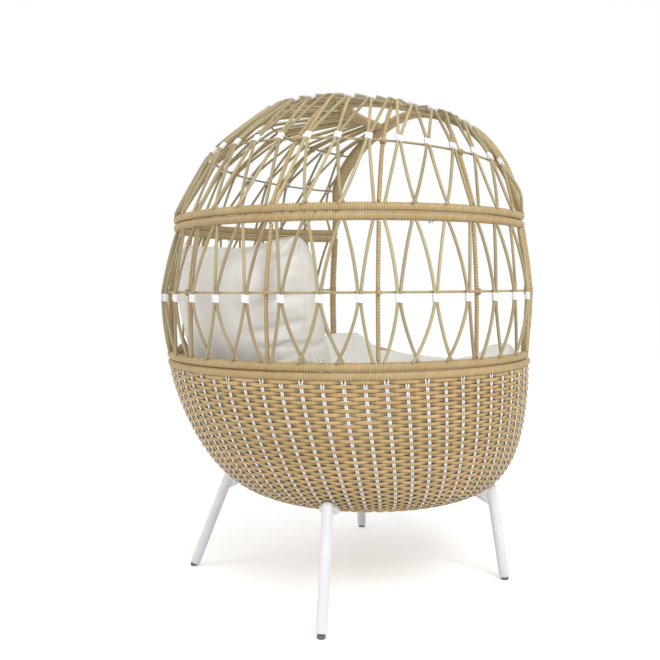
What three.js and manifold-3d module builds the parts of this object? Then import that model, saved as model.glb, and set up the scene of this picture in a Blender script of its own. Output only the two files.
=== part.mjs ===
// Egg-shaped garden chair on four splayed legs, in millimetres, +Z up, the open front facing -Y.
// A woven basket carries a bowed middle section of wrapped tubes and bound rods, and a domed top
// section. Each section is bolted to the next ring on ring. Angles go round the egg's upright axis
// in degrees, 0 at the front and positive towards +X, the left hand of someone sitting in it.
import * as THREE from "three";
import { mergeVertices } from "three/addons/utils/BufferGeometryUtils.js";
import Module from "manifold-3d";

const wasm = await Module();
wasm.setup();

// ---- Driving dimensions ----------------------------------------------------------------------

const clearance = 0.3; // between pieces that touch
const cutMargin = 0.35; // how far a cut stands off the piece that it is cut for
const hoopGap = 3.5; // between a hoop and the rods outside it, which bend there

const ringTube = 21.5; // wrapped tube of the rings, rim, posts and the arch's feet
const ribTube = 10.5; // wrapped rod of the ribs
const hoopWire = 6;
const rodDiameter = 8;

const openingHalfAngle = 57.7; // the front is open between the two posts
const archHalfAngle = 59.7; // the front arch leans back to here above its feet
const ribAngles = [90, 120, 150, 180]; // the first three on both sides, and the last at the back
const clipsPerBay = 3;
const clipPitch = (ribAngles[1] - ribAngles[0]) / clipsPerBay; // degrees from rod clip to rod clip
const firstClipAngle = ribAngles[0] - (clipsPerBay - 0.5) * clipPitch;
const clipSize = { width: 19, height: 20 };

// A level of the frame: radius to the tube's centre, height, and how far its centre lies forward.
const upperJoint = { radius: 494, z: 1026, forward: 19 };
const waist = { radius: 521, z: 837, forward: 12 };
const lowerJoint = { radius: 511, z: 652, forward: 13 };
const clipDrop = 14; // a waist clip's centre lies this far below its hoop
const rodBow = 0.45; // share of its foot's turn that a middle rod has half way down from its clip
const crossPast = 9; // two rods that cross on a ring end this far past each other's middle

// Dome rows: share of the way from the ring to the apex in plan, height on the axis, and rise per
// millimetre towards the back.
const clipRow = { share: 0.129, z: 1198.5, rise: 0.0723 };
const crossRow = { share: 0.36, z: 1325.7, rise: 0.152 };
const archShoulder = { ...crossRow, z: crossRow.z - 2.4 };
const archMid = { share: 0.666, z: 1345, rise: 0 };
const apexZ = 1374;
const loopRowShare = 0.375; // radius that turns widths into degrees where rods reach the loop
const ribSpaceAtLoop = 5.3; // degrees

// Half of the crown loop from its foot on the arch to its back: across and back, in shares of the upper
// ring's radius, and height.
const loopHalf = [
  [0.269, 0, 1352],
  [0.245, 0.134, 1361],
  [0.196, 0.3, 1369],
  [0.113, 0.437, 1376],
  [0, 0.488, 1379],
];

// The arch and the crown loop are wound as flat bands. The arch starts round at its feet, and grows
// towards the back from one height to another.
const archBand = { thickness: 21, back: 35, from: 1100, to: 1230 };
const loopBand = { thickness: 19, half: 22 };

// Basket: height and outside radius of its top, depth, the two powers of its round, and how far its
// centre moves forward from top to bottom.
const basketOutset = 6; // the basket's outside lies this far outside the middle of its rim
const basket = {
  top: 632,
  radius: lowerJoint.radius + basketOutset,
  depth: 392.6,
  depthPower: 1.45,
  radiusPower: 6,
  forward: 14.8,
};
const basketLean = { shift: 76, power: 1.22 };
const basketWall = 9;
const rimDip = { depth: 104, halfAngle: 54 }; // the rim is scooped at the front

const legTube = 29;
const footRadius = 466;
const legAngles = { front: 45, rear: 135 };
const legSplay = { front: 0.15, rear: 0.4 }; // outward run for each unit of height
const glide = { radius: 11, height: 8 };
const gusset = { drop: 70, reach: 62, thickness: 6 };
const saddle = { radius: 27, thickness: 12 };
const legBolt = { radius: 3, headRadius: 9, headHeight: 4, grip: 8 };

const jointBolt = { radius: 3, headRadius: 6.5, headHeight: 4 };
const jointBoltAngle = { upper: 105, lower: 135 };

const seat = {
  // Between the cushion and the wall at steps from the wall's top to the floor's middle.
  wallGaps: [
    [0.965, 1],
    [0.89, 3],
    [0.81, 6],
    [0.72, 9],
    [0.6, 13],
    [0.42, 13],
  ],
  frontTop: 618,
  sideTop: 686,
  backTop: 500,
  ringGap: 14, // between the rolled edge and the lower ring
  dish: 452,
  roll: 46,
};
const pillow = { width: 600, height: 572, thickness: 225, lean: 11, bottomZ: 420, drawIn: 0.07 };
const pillowGap = 8; // between the pillow's corners and the cage's rods or the basket's wall

// ---- Colours ---------------------------------------------------------------------------------

const surface = (color, roughness, metalness = 0) =>
  new THREE.MeshStandardMaterial({ color, roughness, metalness });
const wrappedWicker = surface(0xcdaa73, 0.6);
const wovenWicker = surface(0xc6a878, 0.65);
const rodWicker = surface(0xbdaf87, 0.55);
const whitePaint = surface(0xe2e3e8, 0.4, 0.3);
const greyPlastic = surface(0x6b6c6e, 0.6);
const zincSteel = surface(0xb9bbbd, 0.35, 1);
const canvas = surface(0xe0ddd5, 0.9);

// ---- Plan and path helpers -------------------------------------------------------------------

const rad = THREE.MathUtils.degToRad;
const ringRadius = ringTube / 2;
const ribRadius = ribTube / 2;
const halfPitch = clipPitch / 2;
const rodRadius = rodDiameter / 2;
const hoopRadius = hoopWire / 2;
const rodStandoff = hoopRadius + hoopGap + rodRadius; // rods lie outside the hoops
const ribInset = hoopRadius + 2 * clearance + 1.1 * ribRadius; // ribs lie inside the hoops
const onRing = ringRadius + clearance; // height of what stands on a ring above the ring's middle

// A point at an angle and radius round a level's own centre.
function around(angle, radius, z, forward) {
  const a = rad(angle);
  return new THREE.Vector3(radius * Math.sin(a), -radius * Math.cos(a) - forward, z);
}

const domeRingZ = upperJoint.z + clearance / 2 + ringRadius;
const upperRingZ = upperJoint.z - clearance / 2 - ringRadius;
const lowerRingZ = lowerJoint.z + clearance / 2 + ringRadius;
const rimZ = lowerJoint.z - clearance / 2 - ringRadius;

const upperPoint = (angle, z) => around(angle, upperJoint.radius, z, upperJoint.forward);
const lowerPoint = (angle, z) => around(angle, lowerJoint.radius, z, lowerJoint.forward);
const waistPoint = (angle, z, out = 0) => around(angle, waist.radius + out, z, waist.forward);

// Every dome rib and rod runs in an upright plane towards the front arch's apex.
const archY = upperPoint(archHalfAngle, 0).y;
const apex = new THREE.Vector3(0, archY, apexZ);

// A point of the dome on the way from the ring to the apex, raised off the surface by out.
function domePoint(angle, row, out = 0, share = row.share) {
  const foot = upperPoint(angle, 0);
  const p = foot.clone().lerp(apex, share);
  p.z = row.z + row.rise * p.y;
  const outward = new THREE.Vector3(foot.x, foot.y + upperJoint.forward, 0).normalize();
  outward.multiplyScalar(1 - row.share).setZ(0.4 + row.share).normalize();
  return p.addScaledVector(outward, out);
}

const loopPoint = (side) => ([x, back, z]) => {
  const fromArch = Math.max(back * upperJoint.radius, 0.4 * ringRadius);
  return new THREE.Vector3(side * x * upperJoint.radius, archY + fromArch, z);
};
const loopPoints = [
  ...loopHalf.map(loopPoint(-1)),
  ...loopHalf.slice(0, -1).reverse().map(loopPoint(1)),
];
const loopCurve = new THREE.CatmullRomCurve3(loopPoints);

// Where the upright plane through a ring point and the apex meets the crown loop.
function loopMeets(angle) {
  const foot = upperPoint(angle, 0);
  const along = new THREE.Vector2(foot.x - apex.x, foot.y - apex.y).normalize();
  let best;
  for (const p of loopCurve.getPoints(400)) {
    const q = new THREE.Vector2(p.x - apex.x, p.y - apex.y);
    const off = Math.abs(along.cross(q));
    if (along.dot(q) > 0 && (!best || off < best.off)) best = { off, p };
  }
  return best.p.clone();
}

function basketRadiusAt(depthShare) {
  const left = Math.max(0, 1 - depthShare ** basket.depthPower);
  return basket.radius * left ** (1 / basket.radiusPower);
}

const depthShareAt = (z) => (basket.top - z) / basket.depth;
const basketForward = (depthShare) =>
  basket.forward + basketLean.shift * Math.max(0, depthShare) ** basketLean.power;

// The basket's outside at an angle and a share of its depth, 0 at the rim and 1 at the bottom.
function basketPoint(angle, depthShare) {
  const z = basket.top - basket.depth * depthShare;
  return around(angle, basketRadiusAt(depthShare), z, basketForward(depthShare));
}

function basketNormal(p) {
  const gap = (x, y, z) => {
    const share = THREE.MathUtils.clamp(depthShareAt(z), 0, 0.9999);
    return Math.hypot(x, y + basketForward(share)) - basketRadiusAt(share);
  };
  const step = 0.5;
  return new THREE.Vector3(
    gap(p.x + step, p.y, p.z) - gap(p.x - step, p.y, p.z),
    gap(p.x, p.y + step, p.z) - gap(p.x, p.y - step, p.z),
    gap(p.x, p.y, p.z + step) - gap(p.x, p.y, p.z - step),
  ).normalize();
}

// Height of the rim tube's centre: level behind the posts, and scooped between them.
function rimHeight(angle) {
  const turn = Math.abs(((angle + 540) % 360) - 180);
  if (turn >= rimDip.halfAngle) return rimZ;
  return rimZ - rimDip.depth * (0.5 + 0.5 * Math.cos((Math.PI * turn) / rimDip.halfAngle));
}

// ---- Solids ----------------------------------------------------------------------------------

// Polygon section with the round section's area.
function roundSection(radius, sides) {
  const turn = (2 * Math.PI) / sides;
  const corner = radius * Math.sqrt(turn / Math.sin(turn));
  const points = [];
  for (let i = 0; i < sides; i++) {
    const a = turn * (i + 0.5);
    points.push(new THREE.Vector2(corner * Math.cos(a), corner * Math.sin(a)));
  }
  return new THREE.Shape(points);
}

// A path of straight runs, with a section of the sweep at each of its points. An end that stands
// upright has a level section.
class StraightRuns extends THREE.Curve {
  constructor(points, uprightEnds) {
    super();
    this.points = points;
    this.uprightEnds = uprightEnds;
  }
  getPoint(t) {
    const at = t * (this.points.length - 1);
    const i = Math.min(Math.floor(at + 1e-6), this.points.length - 2);
    return this.points[i].clone().lerp(this.points[i + 1], at - i);
  }
  getPointAt(t) {
    return this.getPoint(t);
  }
  getTangentAt(t) {
    const at = Math.round(t * (this.points.length - 1));
    if (this.uprightEnds.includes(t)) return new THREE.Vector3(0, 0, 1);
    const before = this.points[Math.max(at - 1, 0)];
    const after = this.points[Math.min(at + 1, this.points.length - 1)];
    return after.clone().sub(before).normalize();
  }
}

function sweep(points, radius, sides, uprightEnds = []) {
  const extrudePath = new StraightRuns(points, uprightEnds);
  const steps = points.length - 1;
  return new THREE.ExtrudeGeometry(roundSection(radius, sides), { steps, extrudePath });
}

const smooth = (points, steps) => new THREE.CatmullRomCurve3(points).getSpacedPoints(steps);

function solidOf(geometry) {
  const bare = geometry.index ? geometry.toNonIndexed() : geometry.clone();
  bare.deleteAttribute("normal");
  bare.deleteAttribute("uv");
  const merged = mergeVertices(bare, 1e-4);
  return new wasm.Manifold(
    new wasm.Mesh({
      numProp: 3,
      vertProperties: merged.attributes.position.array,
      triVerts: new Uint32Array(merged.index.array),
    }),
  );
}

function geometryOf(solid) {
  const made = solid.getMesh();
  const geometry = new THREE.BufferGeometry();
  const position = new Float32Array(made.vertProperties);
  geometry.setAttribute("position", new THREE.BufferAttribute(position, 3));
  geometry.setIndex(new THREE.BufferAttribute(new Uint32Array(made.triVerts), 1));
  geometry.computeVertexNormals();
  return geometry;
}

const cut = (solid, ...cutters) => cutters.reduce((s, c) => s.subtract(c), solid);

const join = (solids) => solids.reduce((a, b) => a.add(b));

// A straight round bar between two points.
function bar(from, to, radius, sides = 10) {
  const along = to.clone().sub(from);
  const geometry = new THREE.CylinderGeometry(radius, radius, along.length(), sides);
  geometry.applyQuaternion(
    new THREE.Quaternion().setFromUnitVectors(new THREE.Vector3(0, 1, 0), along.normalize()),
  );
  geometry.translate(...from.clone().add(to).multiplyScalar(0.5).toArray());
  return solidOf(geometry);
}

// A closed skin from rings of points, all with as many points, closed by a point at each end.
function skin(rings, first, last) {
  const count = rings[0].length;
  const points = [first, ...rings.flat(), last];
  const index = [];
  for (let i = 0; i < count; i++) {
    const next = (i + 1) % count;
    index.push(0, 1 + next, 1 + i);
    for (let r = 0; r + 1 < rings.length; r++) {
      const a = 1 + r * count;
      const b = a + count;
      index.push(a + i, a + next, b + next, a + i, b + next, b + i);
    }
    const end = 1 + (rings.length - 1) * count;
    index.push(points.length - 1, end + i, end + next);
  }
  const geometry = new THREE.BufferGeometry().setFromPoints(points);
  geometry.setIndex(index);
  return solidOf(geometry);
}

const model = new THREE.Group();
const chair = new THREE.Group();
model.add(chair);

function addPiece(name, solid, material) {
  const mesh = new THREE.Mesh(geometryOf(solid), material);
  mesh.name = name;
  chair.add(mesh);
}

const bothSides = (build) => {
  build(1, "left");
  build(-1, "right");
};

// ---- Rings -----------------------------------------------------------------------------------

const tubeSides = 8;

// Angles round the cage from one end to the other, with a step at each rib and meeting point.
function cageAngles(end) {
  const angles = [];
  for (let angle = firstClipAngle - halfPitch; angle <= 180; angle += clipPitch)
    if (angle > end) angles.push(angle);
  const side = [end, ...angles];
  return [...side, ...side.slice(0, -1).reverse().map((angle) => 360 - angle)];
}

// A ring of the cage, open at the front, that ends flush with the outsides of the two posts.
function cageRing(point, z, radius, grow = 0) {
  const extra = THREE.MathUtils.radToDeg(ringRadius / radius);
  const points = cageAngles(openingHalfAngle - extra).map((angle) => point(angle, z));
  return solidOf(sweep(points, ringRadius + grow, tubeSides));
}

const basketColumns = 44;
const basketTurns = Array.from({ length: basketColumns }, (_, i) => (360 * i) / basketColumns);
function rimSolid() {
  const points = basketTurns.map((angle) => {
    const z = rimHeight(angle);
    const share = Math.max(0, depthShareAt(z));
    return around(angle, basketRadiusAt(share) - basketOutset, z, basketForward(share));
  });
  const path = new THREE.CatmullRomCurve3(points, true);
  return solidOf(
    new THREE.TubeGeometry(path, basketColumns, ringRadius, tubeSides, true),
  );
}

const upright = (angle, radius, z0, z1, forward, size) =>
  bar(around(angle, radius, z0, forward), around(angle, radius, z1, forward), size, 8);

// A joint bolt goes through the ring on its head's side and most of the way through the other.
// towards is 1 where the bolt points up from its head and -1 where it points down.
function boltSpan({ z }, towards) {
  const headSeat = z - towards * (ringTube + 2 * clearance);
  return { headSeat, tip: z + towards * 0.8 * ringTube };
}

function jointHole(joint, angle, towards) {
  const { headSeat, tip } = boltSpan(joint, towards);
  const size = jointBolt.radius + cutMargin;
  const end = tip + towards * cutMargin;
  return upright(angle, joint.radius, headSeat - towards, end, joint.forward, size);
}

const jointHoles = (joint, angle, towards) =>
  [angle, -angle].map((a) => jointHole(joint, a, towards));
const upperHoles = jointHoles(upperJoint, jointBoltAngle.upper, 1);
const lowerHoles = jointHoles(lowerJoint, jointBoltAngle.lower, -1);

const domeRing = cageRing(upperPoint, domeRingZ, upperJoint.radius);
const middleTop = cageRing(upperPoint, upperRingZ, upperJoint.radius);
const middleFoot = cageRing(lowerPoint, lowerRingZ, lowerJoint.radius);
const rim = rimSolid();
addPiece("dome_ring", cut(domeRing, ...upperHoles), wrappedWicker);
addPiece("middle_upper_ring", cut(middleTop, ...upperHoles), wrappedWicker);
addPiece("middle_lower_ring", cut(middleFoot, ...lowerHoles), wrappedWicker);
addPiece("basket_rim", cut(rim, ...lowerHoles), wrappedWicker);

const grownDomeRing = cageRing(upperPoint, domeRingZ, upperJoint.radius, cutMargin);
const grownMiddleTop = cageRing(upperPoint, upperRingZ, upperJoint.radius, cutMargin);
const grownMiddleFoot = cageRing(lowerPoint, lowerRingZ, lowerJoint.radius, cutMargin);

function addJointBolt(name, joint, angle, towards) {
  const { headSeat, tip } = boltSpan(joint, towards);
  const { radius, headRadius, headHeight } = jointBolt;
  const { forward } = joint;
  const shank = upright(angle, joint.radius, headSeat - towards, tip, forward, radius);
  const headTop = headSeat - towards * headHeight;
  const head = upright(angle, joint.radius, headSeat, headTop, forward, headRadius);
  addPiece(name, shank.add(head), zincSteel);
}

bothSides((side, word) => {
  addJointBolt("upper_joint_bolt_" + word, upperJoint, side * jointBoltAngle.upper, 1);
  addJointBolt("lower_joint_bolt_" + word, lowerJoint, side * jointBoltAngle.lower, -1);
});

// ---- Middle section --------------------------------------------------------------------------

// An upright of the middle section, bowed out to the waist, with its ends sunk into the rings or not.
function middleUpright(angle, radius, sides, sunk, inset, grow = 0) {
  const ends = sunk ? 0.7 * ringRadius : onRing;
  const points = [
    lowerPoint(angle, lowerRingZ + ends),
    waistPoint(angle, waist.z, -inset),
    upperPoint(angle, upperRingZ - ends),
  ];
  return solidOf(sweep(smooth(points, 6), radius + grow, sides, sunk ? [] : [0, 1]));
}

const frontPost = (angle, grow = 0) =>
  middleUpright(angle, ringRadius, tubeSides, true, 0, grow);
bothSides((side, word) => {
  const post = frontPost(side * openingHalfAngle);
  addPiece("front_post_" + word, cut(post, grownMiddleTop, grownMiddleFoot), wrappedWicker);
});
const grownPosts = [1, -1].map((side) => frontPost(side * openingHalfAngle, cutMargin));

// A thin hoop through a row of points, from one side of the opening round the back to the other.
const hoopSolid = (end, point) => solidOf(sweep(cageAngles(end).map(point), hoopRadius, 4));

const waistHoopPoint = (angle) => waistPoint(angle, waist.z);
const waistHoop = hoopSolid(openingHalfAngle, waistHoopPoint);
addPiece("waist_hoop", cut(waistHoop, ...grownPosts), rodWicker);

const ribNames = (word) => ["side_" + word, "rear_side_" + word, "rear_" + word];
const ribs = [{ angle: ribAngles[3], name: "back" }];
bothSides((side, word) => {
  ribNames(word).forEach((name, i) => ribs.push({ angle: side * ribAngles[i], name }));
});
for (const { angle, name } of ribs)
  addPiece("middle_rib_" + name, middleUpright(angle, ribRadius, 6, false, ribInset), wrappedWicker);

// ---- Lattice panels --------------------------------------------------------------------------

// A panel of rods and clips is laid out flat and then bent onto the cage. In the layout x is degrees
// from the first clip, y counts rows of the cage upwards, and z is 0 inside and 1 outside. A row has a
// radius, which turns a width into degrees, and at, the cage's point for an angle and a distance out.

const beside = 0.9 * rodRadius; // the two rods of a clip lie this far from its middle
const ribBeside = 1.1 * (ribRadius + rodRadius) + 7 * clearance;
const degrees = (distance, row) => THREE.MathUtils.radToDeg(distance / row.radius);

const slab = (points) =>
  solidOf(new THREE.ExtrudeGeometry(new THREE.Shape(points), { depth: 1, bevelEnabled: false }));

// A rod through one place in each row.
function flatRod(places, rows) {
  const edge = (side) =>
    rows.map((row, y) => new THREE.Vector2(places[y] + side * degrees(rodRadius, row), y));
  return slab([...edge(-1), ...edge(1).reverse()]);
}

// A clip from one row to the next.
function flatClip(place, rows, y) {
  const corner = (side, up) => {
    const wide = degrees(clipSize.width / 2, rows[y + up]);
    return new THREE.Vector2(place + side * wide, y + up);
  };
  return slab([corner(-1, 0), corner(1, 0), corner(1, 1), corner(-1, 1)]);
}

const postBeside = ringRadius + rodRadius + 4 * clearance;

// How far round from its clip a rod is where it meets the next clip's rod, or stays beside a rib or a
// post.
function meeting(neighbour, row, past) {
  if (neighbour === "rib") return halfPitch - degrees(ribBeside, row);
  const free = halfPitch + degrees(past, row);
  if (neighbour !== "post") return free;
  return Math.min(free, firstClipAngle - openingHalfAngle - degrees(postBeside, row));
}

function bend(solid, rows, start, side) {
  const { numProp, vertProperties, triVerts } = solid.getMesh();
  const position = new Float32Array(vertProperties);
  for (let i = 0; i < position.length; i += numProp) {
    const [x, y, z] = position.subarray(i, i + 3);
    const row = Math.min(Math.floor(y), rows.length - 2);
    const angle = side * (start + x);
    const out = rodDiameter * (z - 0.5);
    const p = rows[row].at(angle, out).lerp(rows[row + 1].at(angle, out), y - row);
    p.toArray(position, i);
  }
  const order = new Uint32Array(triVerts);
  if (side < 0) order.reverse();
  return new wasm.Manifold(
    new wasm.Mesh({ numProp, vertProperties: position, triVerts: order }),
  );
}

// The four bays on each side, from the post to the back, with the angle of each bay's first clip.
const bayStarts = [firstClipAngle, ...ribAngles.slice(0, 3).map((a) => a + halfPitch)];

// What stands beside one of the two rods of a bay's clip: a rib, a post, or only the next rod.
function neighbourOf(bay, i, way) {
  const isOuter = i === (way < 0 ? 0 : clipsPerBay - 1);
  if (!isOuter) return "rod";
  return bay === 0 && way < 0 ? "post" : "rib";
}

// The solid of a bay: both rods of each clip, as rodPlaces gives them, and the clips of its rows.
function panelSolid(bay, side, rows, rodPlaces, clips, lastPlaces = []) {
  const flat = clips.map(([place, y]) => flatClip(place, rows, y));
  for (let i = 0; i < clipsPerBay; i++) {
    for (const way of [-1, 1]) {
      const turns = rodPlaces(neighbourOf(bay, i, way));
      const places = turns.map((turn) => i * clipPitch + way * turn);
      if (places.length === rows.length - 1) places.push(lastPlaces[2 * i + (way > 0 ? 1 : 0)]);
      flat.push(flatRod(places, rows.slice(0, places.length)));
    }
  }
  return bend(join(flat), rows, bayStarts[bay], side);
}

const ownClips = (y) => Array.from({ length: clipsPerBay }, (_, i) => [i * clipPitch, y]);
const meetingClips = (y) => ownClips(y).slice(1).map(([place]) => [place - halfPitch, y]);

// ---- Middle lattice --------------------------------------------------------------------------

const clipHalf = clipSize.height / 2;
const waistRow = (z, out) => ({
  radius: waist.radius,
  at: (angle, more) => waistPoint(angle, z, out + more),
});
const middleRows = [
  {
    radius: lowerJoint.radius,
    at: (angle, out) =>
      around(angle, lowerJoint.radius + out, lowerRingZ + onRing, lowerJoint.forward),
  },
  waistRow((lowerRingZ + waist.z) / 2, rodRadius / 2),
  waistRow(waist.z - clipDrop - clipHalf, rodStandoff),
  waistRow(waist.z - clipDrop + clipHalf, rodStandoff),
  {
    radius: upperJoint.radius,
    at: (angle, out) =>
      around(angle, upperJoint.radius + out, upperRingZ - onRing, upperJoint.forward),
  },
];

function middleRodPlaces(neighbour) {
  const [footRow, , clipRowFoot, clipRowTop, topRow] = middleRows;
  const foot = meeting(neighbour, footRow, crossPast);
  return [
    foot,
    rodBow * foot,
    degrees(beside, clipRowFoot),
    degrees(beside, clipRowTop),
    meeting(neighbour, topRow, -beside),
  ];
}

bothSides((side, word) => {
  bayStarts.forEach((_, bay) => {
    const panel = panelSolid(bay, side, middleRows, middleRodPlaces, ownClips(2));
    const name = "middle_lattice_" + word + "_" + (bay + 1);
    addPiece(name, panel, rodWicker);
  });
});

// ---- Dome section ----------------------------------------------------------------------------


// A band with chamfered edges along a path. At each point of the path, sideways gives a direction
// across the band, and reach how far the band goes against that direction and along it.
function bandSolid(points, sideways, reach, thickness, grow) {
  const half = thickness / 2 + grow;
  const chamfer = half * (2 - Math.SQRT2);
  const rings = points.map((p, i) => {
    const before = points[Math.max(i - 1, 0)];
    const along = points[Math.min(i + 1, points.length - 1)].clone().sub(before).normalize();
    const across = sideways(p, along);
    across.addScaledVector(along, -across.dot(along)).normalize();
    const outward = along.clone().cross(across);
    const [low, high] = reach(p).map((distance) => distance + grow);
    const corner = (a, b) => p.clone().addScaledVector(across, a).addScaledVector(outward, b);
    return [
      corner(high, chamfer - half),
      corner(high, half - chamfer),
      corner(high - chamfer, half),
      corner(chamfer - low, half),
      corner(-low, half - chamfer),
      corner(-low, chamfer - half),
      corner(chamfer - low, -half),
      corner(high - chamfer, -half),
    ];
  });
  return skin(rings, points[0].clone(), points.at(-1).clone());
}

function archSolid(grow = 0) {
  const half = (side) => [
    upperPoint(side * openingHalfAngle, domeRingZ + 0.4 * ringRadius),
    domePoint(side * archHalfAngle, clipRow),
    domePoint(side * archHalfAngle, archShoulder),
    domePoint(side * archHalfAngle, archMid),
  ];
  const points = [...half(-1), apex, ...half(1).reverse()];
  const front = archBand.thickness / 2;
  const reach = ({ z }) => {
    const grown = THREE.MathUtils.smoothstep(z, archBand.from, archBand.to);
    return [front, THREE.MathUtils.lerp(front, archBand.back, grown)];
  };
  const back = () => new THREE.Vector3(0, 1, 0);
  return bandSolid(smooth(points, 26), back, reach, archBand.thickness, grow);
}

function loopSolid(grow = 0) {
  const level = (p, along) => new THREE.Vector3(-along.y, along.x, 0);
  const reach = () => [loopBand.half, loopBand.half];
  return bandSolid(smooth(loopPoints, 16), level, reach, loopBand.thickness, grow);
}

const grownArch = archSolid(cutMargin);
const grownLoop = loopSolid(cutMargin);
addPiece("front_arch", cut(archSolid(), grownDomeRing), wrappedWicker);
addPiece("crown_loop", cut(loopSolid(), grownArch), wrappedWicker);

const domeHoops = [
  { name: "dome_lower_hoop", row: clipRow },
  { name: "dome_upper_hoop", row: crossRow },
];
const domeHoopEnd = (archHalfAngle + firstClipAngle) / 2; // within the arch's band
for (const { name, row } of domeHoops) {
  const hoop = hoopSolid(domeHoopEnd, (angle) => domePoint(angle, row, -rodStandoff));
  addPiece(name, cut(hoop, grownArch), rodWicker);
}

for (const { angle, name } of ribs) {
  const points = [
    upperPoint(angle, domeRingZ + onRing),
    domePoint(angle, clipRow, -rodStandoff - ribInset),
    domePoint(angle, crossRow, -rodStandoff - ribInset),
    loopMeets(angle),
  ];
  const rib = solidOf(sweep(smooth(points, 7), ribRadius, 6, [0]));
  addPiece("dome_rib_" + name, cut(rib, grownLoop), wrappedWicker);
}

// ---- Dome lattice ----------------------------------------------------------------------------

// Two rows at a row of dome clips, at their feet and at their tops.
function domeClipRows(row, below, above) {
  const radius = upperJoint.radius * (1 - row.share);
  return [-clipHalf, clipHalf].map((up) => ({
    radius,
    at: (angle, out) => {
      const slope = above(angle).sub(below(angle)).normalize();
      return domePoint(angle, row, out).addScaledVector(slope, up);
    },
  }));
}

const domeFoot = (angle) => upperPoint(angle, domeRingZ + onRing);
const domeRows = [
  {
    radius: upperJoint.radius,
    at: (angle, out) =>
      around(angle, upperJoint.radius + out, domeRingZ + onRing, upperJoint.forward),
  },
  ...domeClipRows(clipRow, domeFoot, (angle) => domePoint(angle, crossRow)),
  ...domeClipRows(crossRow, (angle) => domePoint(angle, clipRow), loopMeets),
  {
    radius: loopRowShare * upperJoint.radius,
    at: (angle, out) => {
      const p = loopMeets(angle);
      p.z += out + rodRadius;
      return p;
    },
  },
];

// The ends of a bay's rods stand side by side on the crown loop, between the ends of its ribs. The
// rods of the front bays reach it, or the arch beside it, from halfPitch / 2 on.
const loopEnds = bayStarts.map((start, bay) => {
  const first = start - halfPitch + (bay === 0 ? halfPitch / 2 : ribSpaceAtLoop);
  const last = start + clipPitch * (clipsPerBay - 0.5) - ribSpaceAtLoop;
  const step = (last - first) / (2 * clipsPerBay - 1);
  return (order) => first + step * order - start;
});

// The rod beside a post ends in the arch's band.
function domeRodPlaces(neighbour) {
  const [foot, clipFoot, clipTop, crossFoot, crossTop] = domeRows;
  const lower = [
    meeting(neighbour, foot, crossPast),
    degrees(beside, clipFoot),
    degrees(beside, clipTop),
  ];
  if (neighbour === "post") {
    return [...lower, firstClipAngle - archHalfAngle - degrees(ribRadius, crossFoot)];
  }
  return [
    ...lower,
    meeting(neighbour, crossFoot, -beside),
    meeting(neighbour, crossTop, -beside),
  ];
}

bothSides((side, word) => {
  bayStarts.forEach((_, bay) => {
    const clips = [...ownClips(1), ...meetingClips(3)];
    const ends = Array.from({ length: 2 * clipsPerBay }, (_, order) => loopEnds[bay](order));
    const panel = panelSolid(bay, side, domeRows, domeRodPlaces, clips, ends);
    const name = "dome_lattice_" + word + "_" + (bay + 1);
    addPiece(name, cut(panel, ...(bay === 0 ? [grownLoop, grownArch] : [grownLoop])), rodWicker);
  });
});

// ---- Basket ----------------------------------------------------------------------------------

const bowlSteps = [0, 0.2, 0.37, 0.51, 0.625, 0.72, 0.81, 0.89, 0.965];

// Share of the depth at a step between the wall's top edge and the middle of the bottom.
function bowlShare(angle, step) {
  const slope = (rimHeight(angle + 1) - rimHeight(angle - 1)) / rad(2) / basket.radius;
  const drop = (onRing + clearance) * Math.hypot(1, slope);
  const top = depthShareAt(rimHeight(angle) - drop);
  const start = Math.asin(top ** (basket.depthPower / 2));
  const turn = start + (Math.PI / 2 - start) * step;
  return Math.sin(turn) ** (2 / basket.depthPower);
}

function bowlRing(step, inward, turns = basketTurns) {
  return turns.map((angle) => {
    const p = basketPoint(angle, bowlShare(angle, step));
    const n = basketNormal(p);
    if (step === 0) n.setZ(0).normalize();
    return p.addScaledVector(n, -inward);
  });
}

const floorCentre = (inward) => around(0, 0, basket.top - basket.depth + inward, basketForward(1));

// The bowl's outside, closed across its top: a solid that cuts what stands against the basket.
function bowlBlock(inward) {
  const rings = bowlSteps.map((step) => bowlRing(step, inward));
  const lid = rings[0].reduce((a, b) => a.clone().add(b)).multiplyScalar(1 / basketColumns);
  return skin([...rings].reverse(), floorCentre(inward), lid);
}

function bowlShell() {
  const outer = bowlSteps.map((step) => bowlRing(step, 0));
  const inner = bowlSteps.map((step) => bowlRing(step, basketWall));
  return skin([...outer.reverse(), ...inner], floorCentre(0), floorCentre(basketWall));
}

// ---- Legs ------------------------------------------------------------------------------------

// Where a leg's centre line comes up against the basket's outside.
function legMeets(foot, run) {
  let low = glide.height;
  let high = basket.top;
  for (let i = 0; i < 40; i++) {
    const z = (low + high) / 2;
    const p = foot.clone().addScaledVector(run, z);
    const share = THREE.MathUtils.clamp(depthShareAt(z), 0, 1);
    const inside = Math.hypot(p.x, p.y + basketForward(share)) < basketRadiusAt(share);
    if (inside && z > basket.top - basket.depth) high = z;
    else low = z;
  }
  return foot.clone().addScaledVector(run, high);
}

const grownBowl = bowlBlock(-cutMargin);
const shellHoles = [];
const floorBlock = new THREE.BoxGeometry(4 * footRadius, 4 * footRadius, footRadius);
const belowLegs = solidOf(
  floorBlock.translate(0, 0, glide.height + clearance - footRadius / 2),
);

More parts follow.
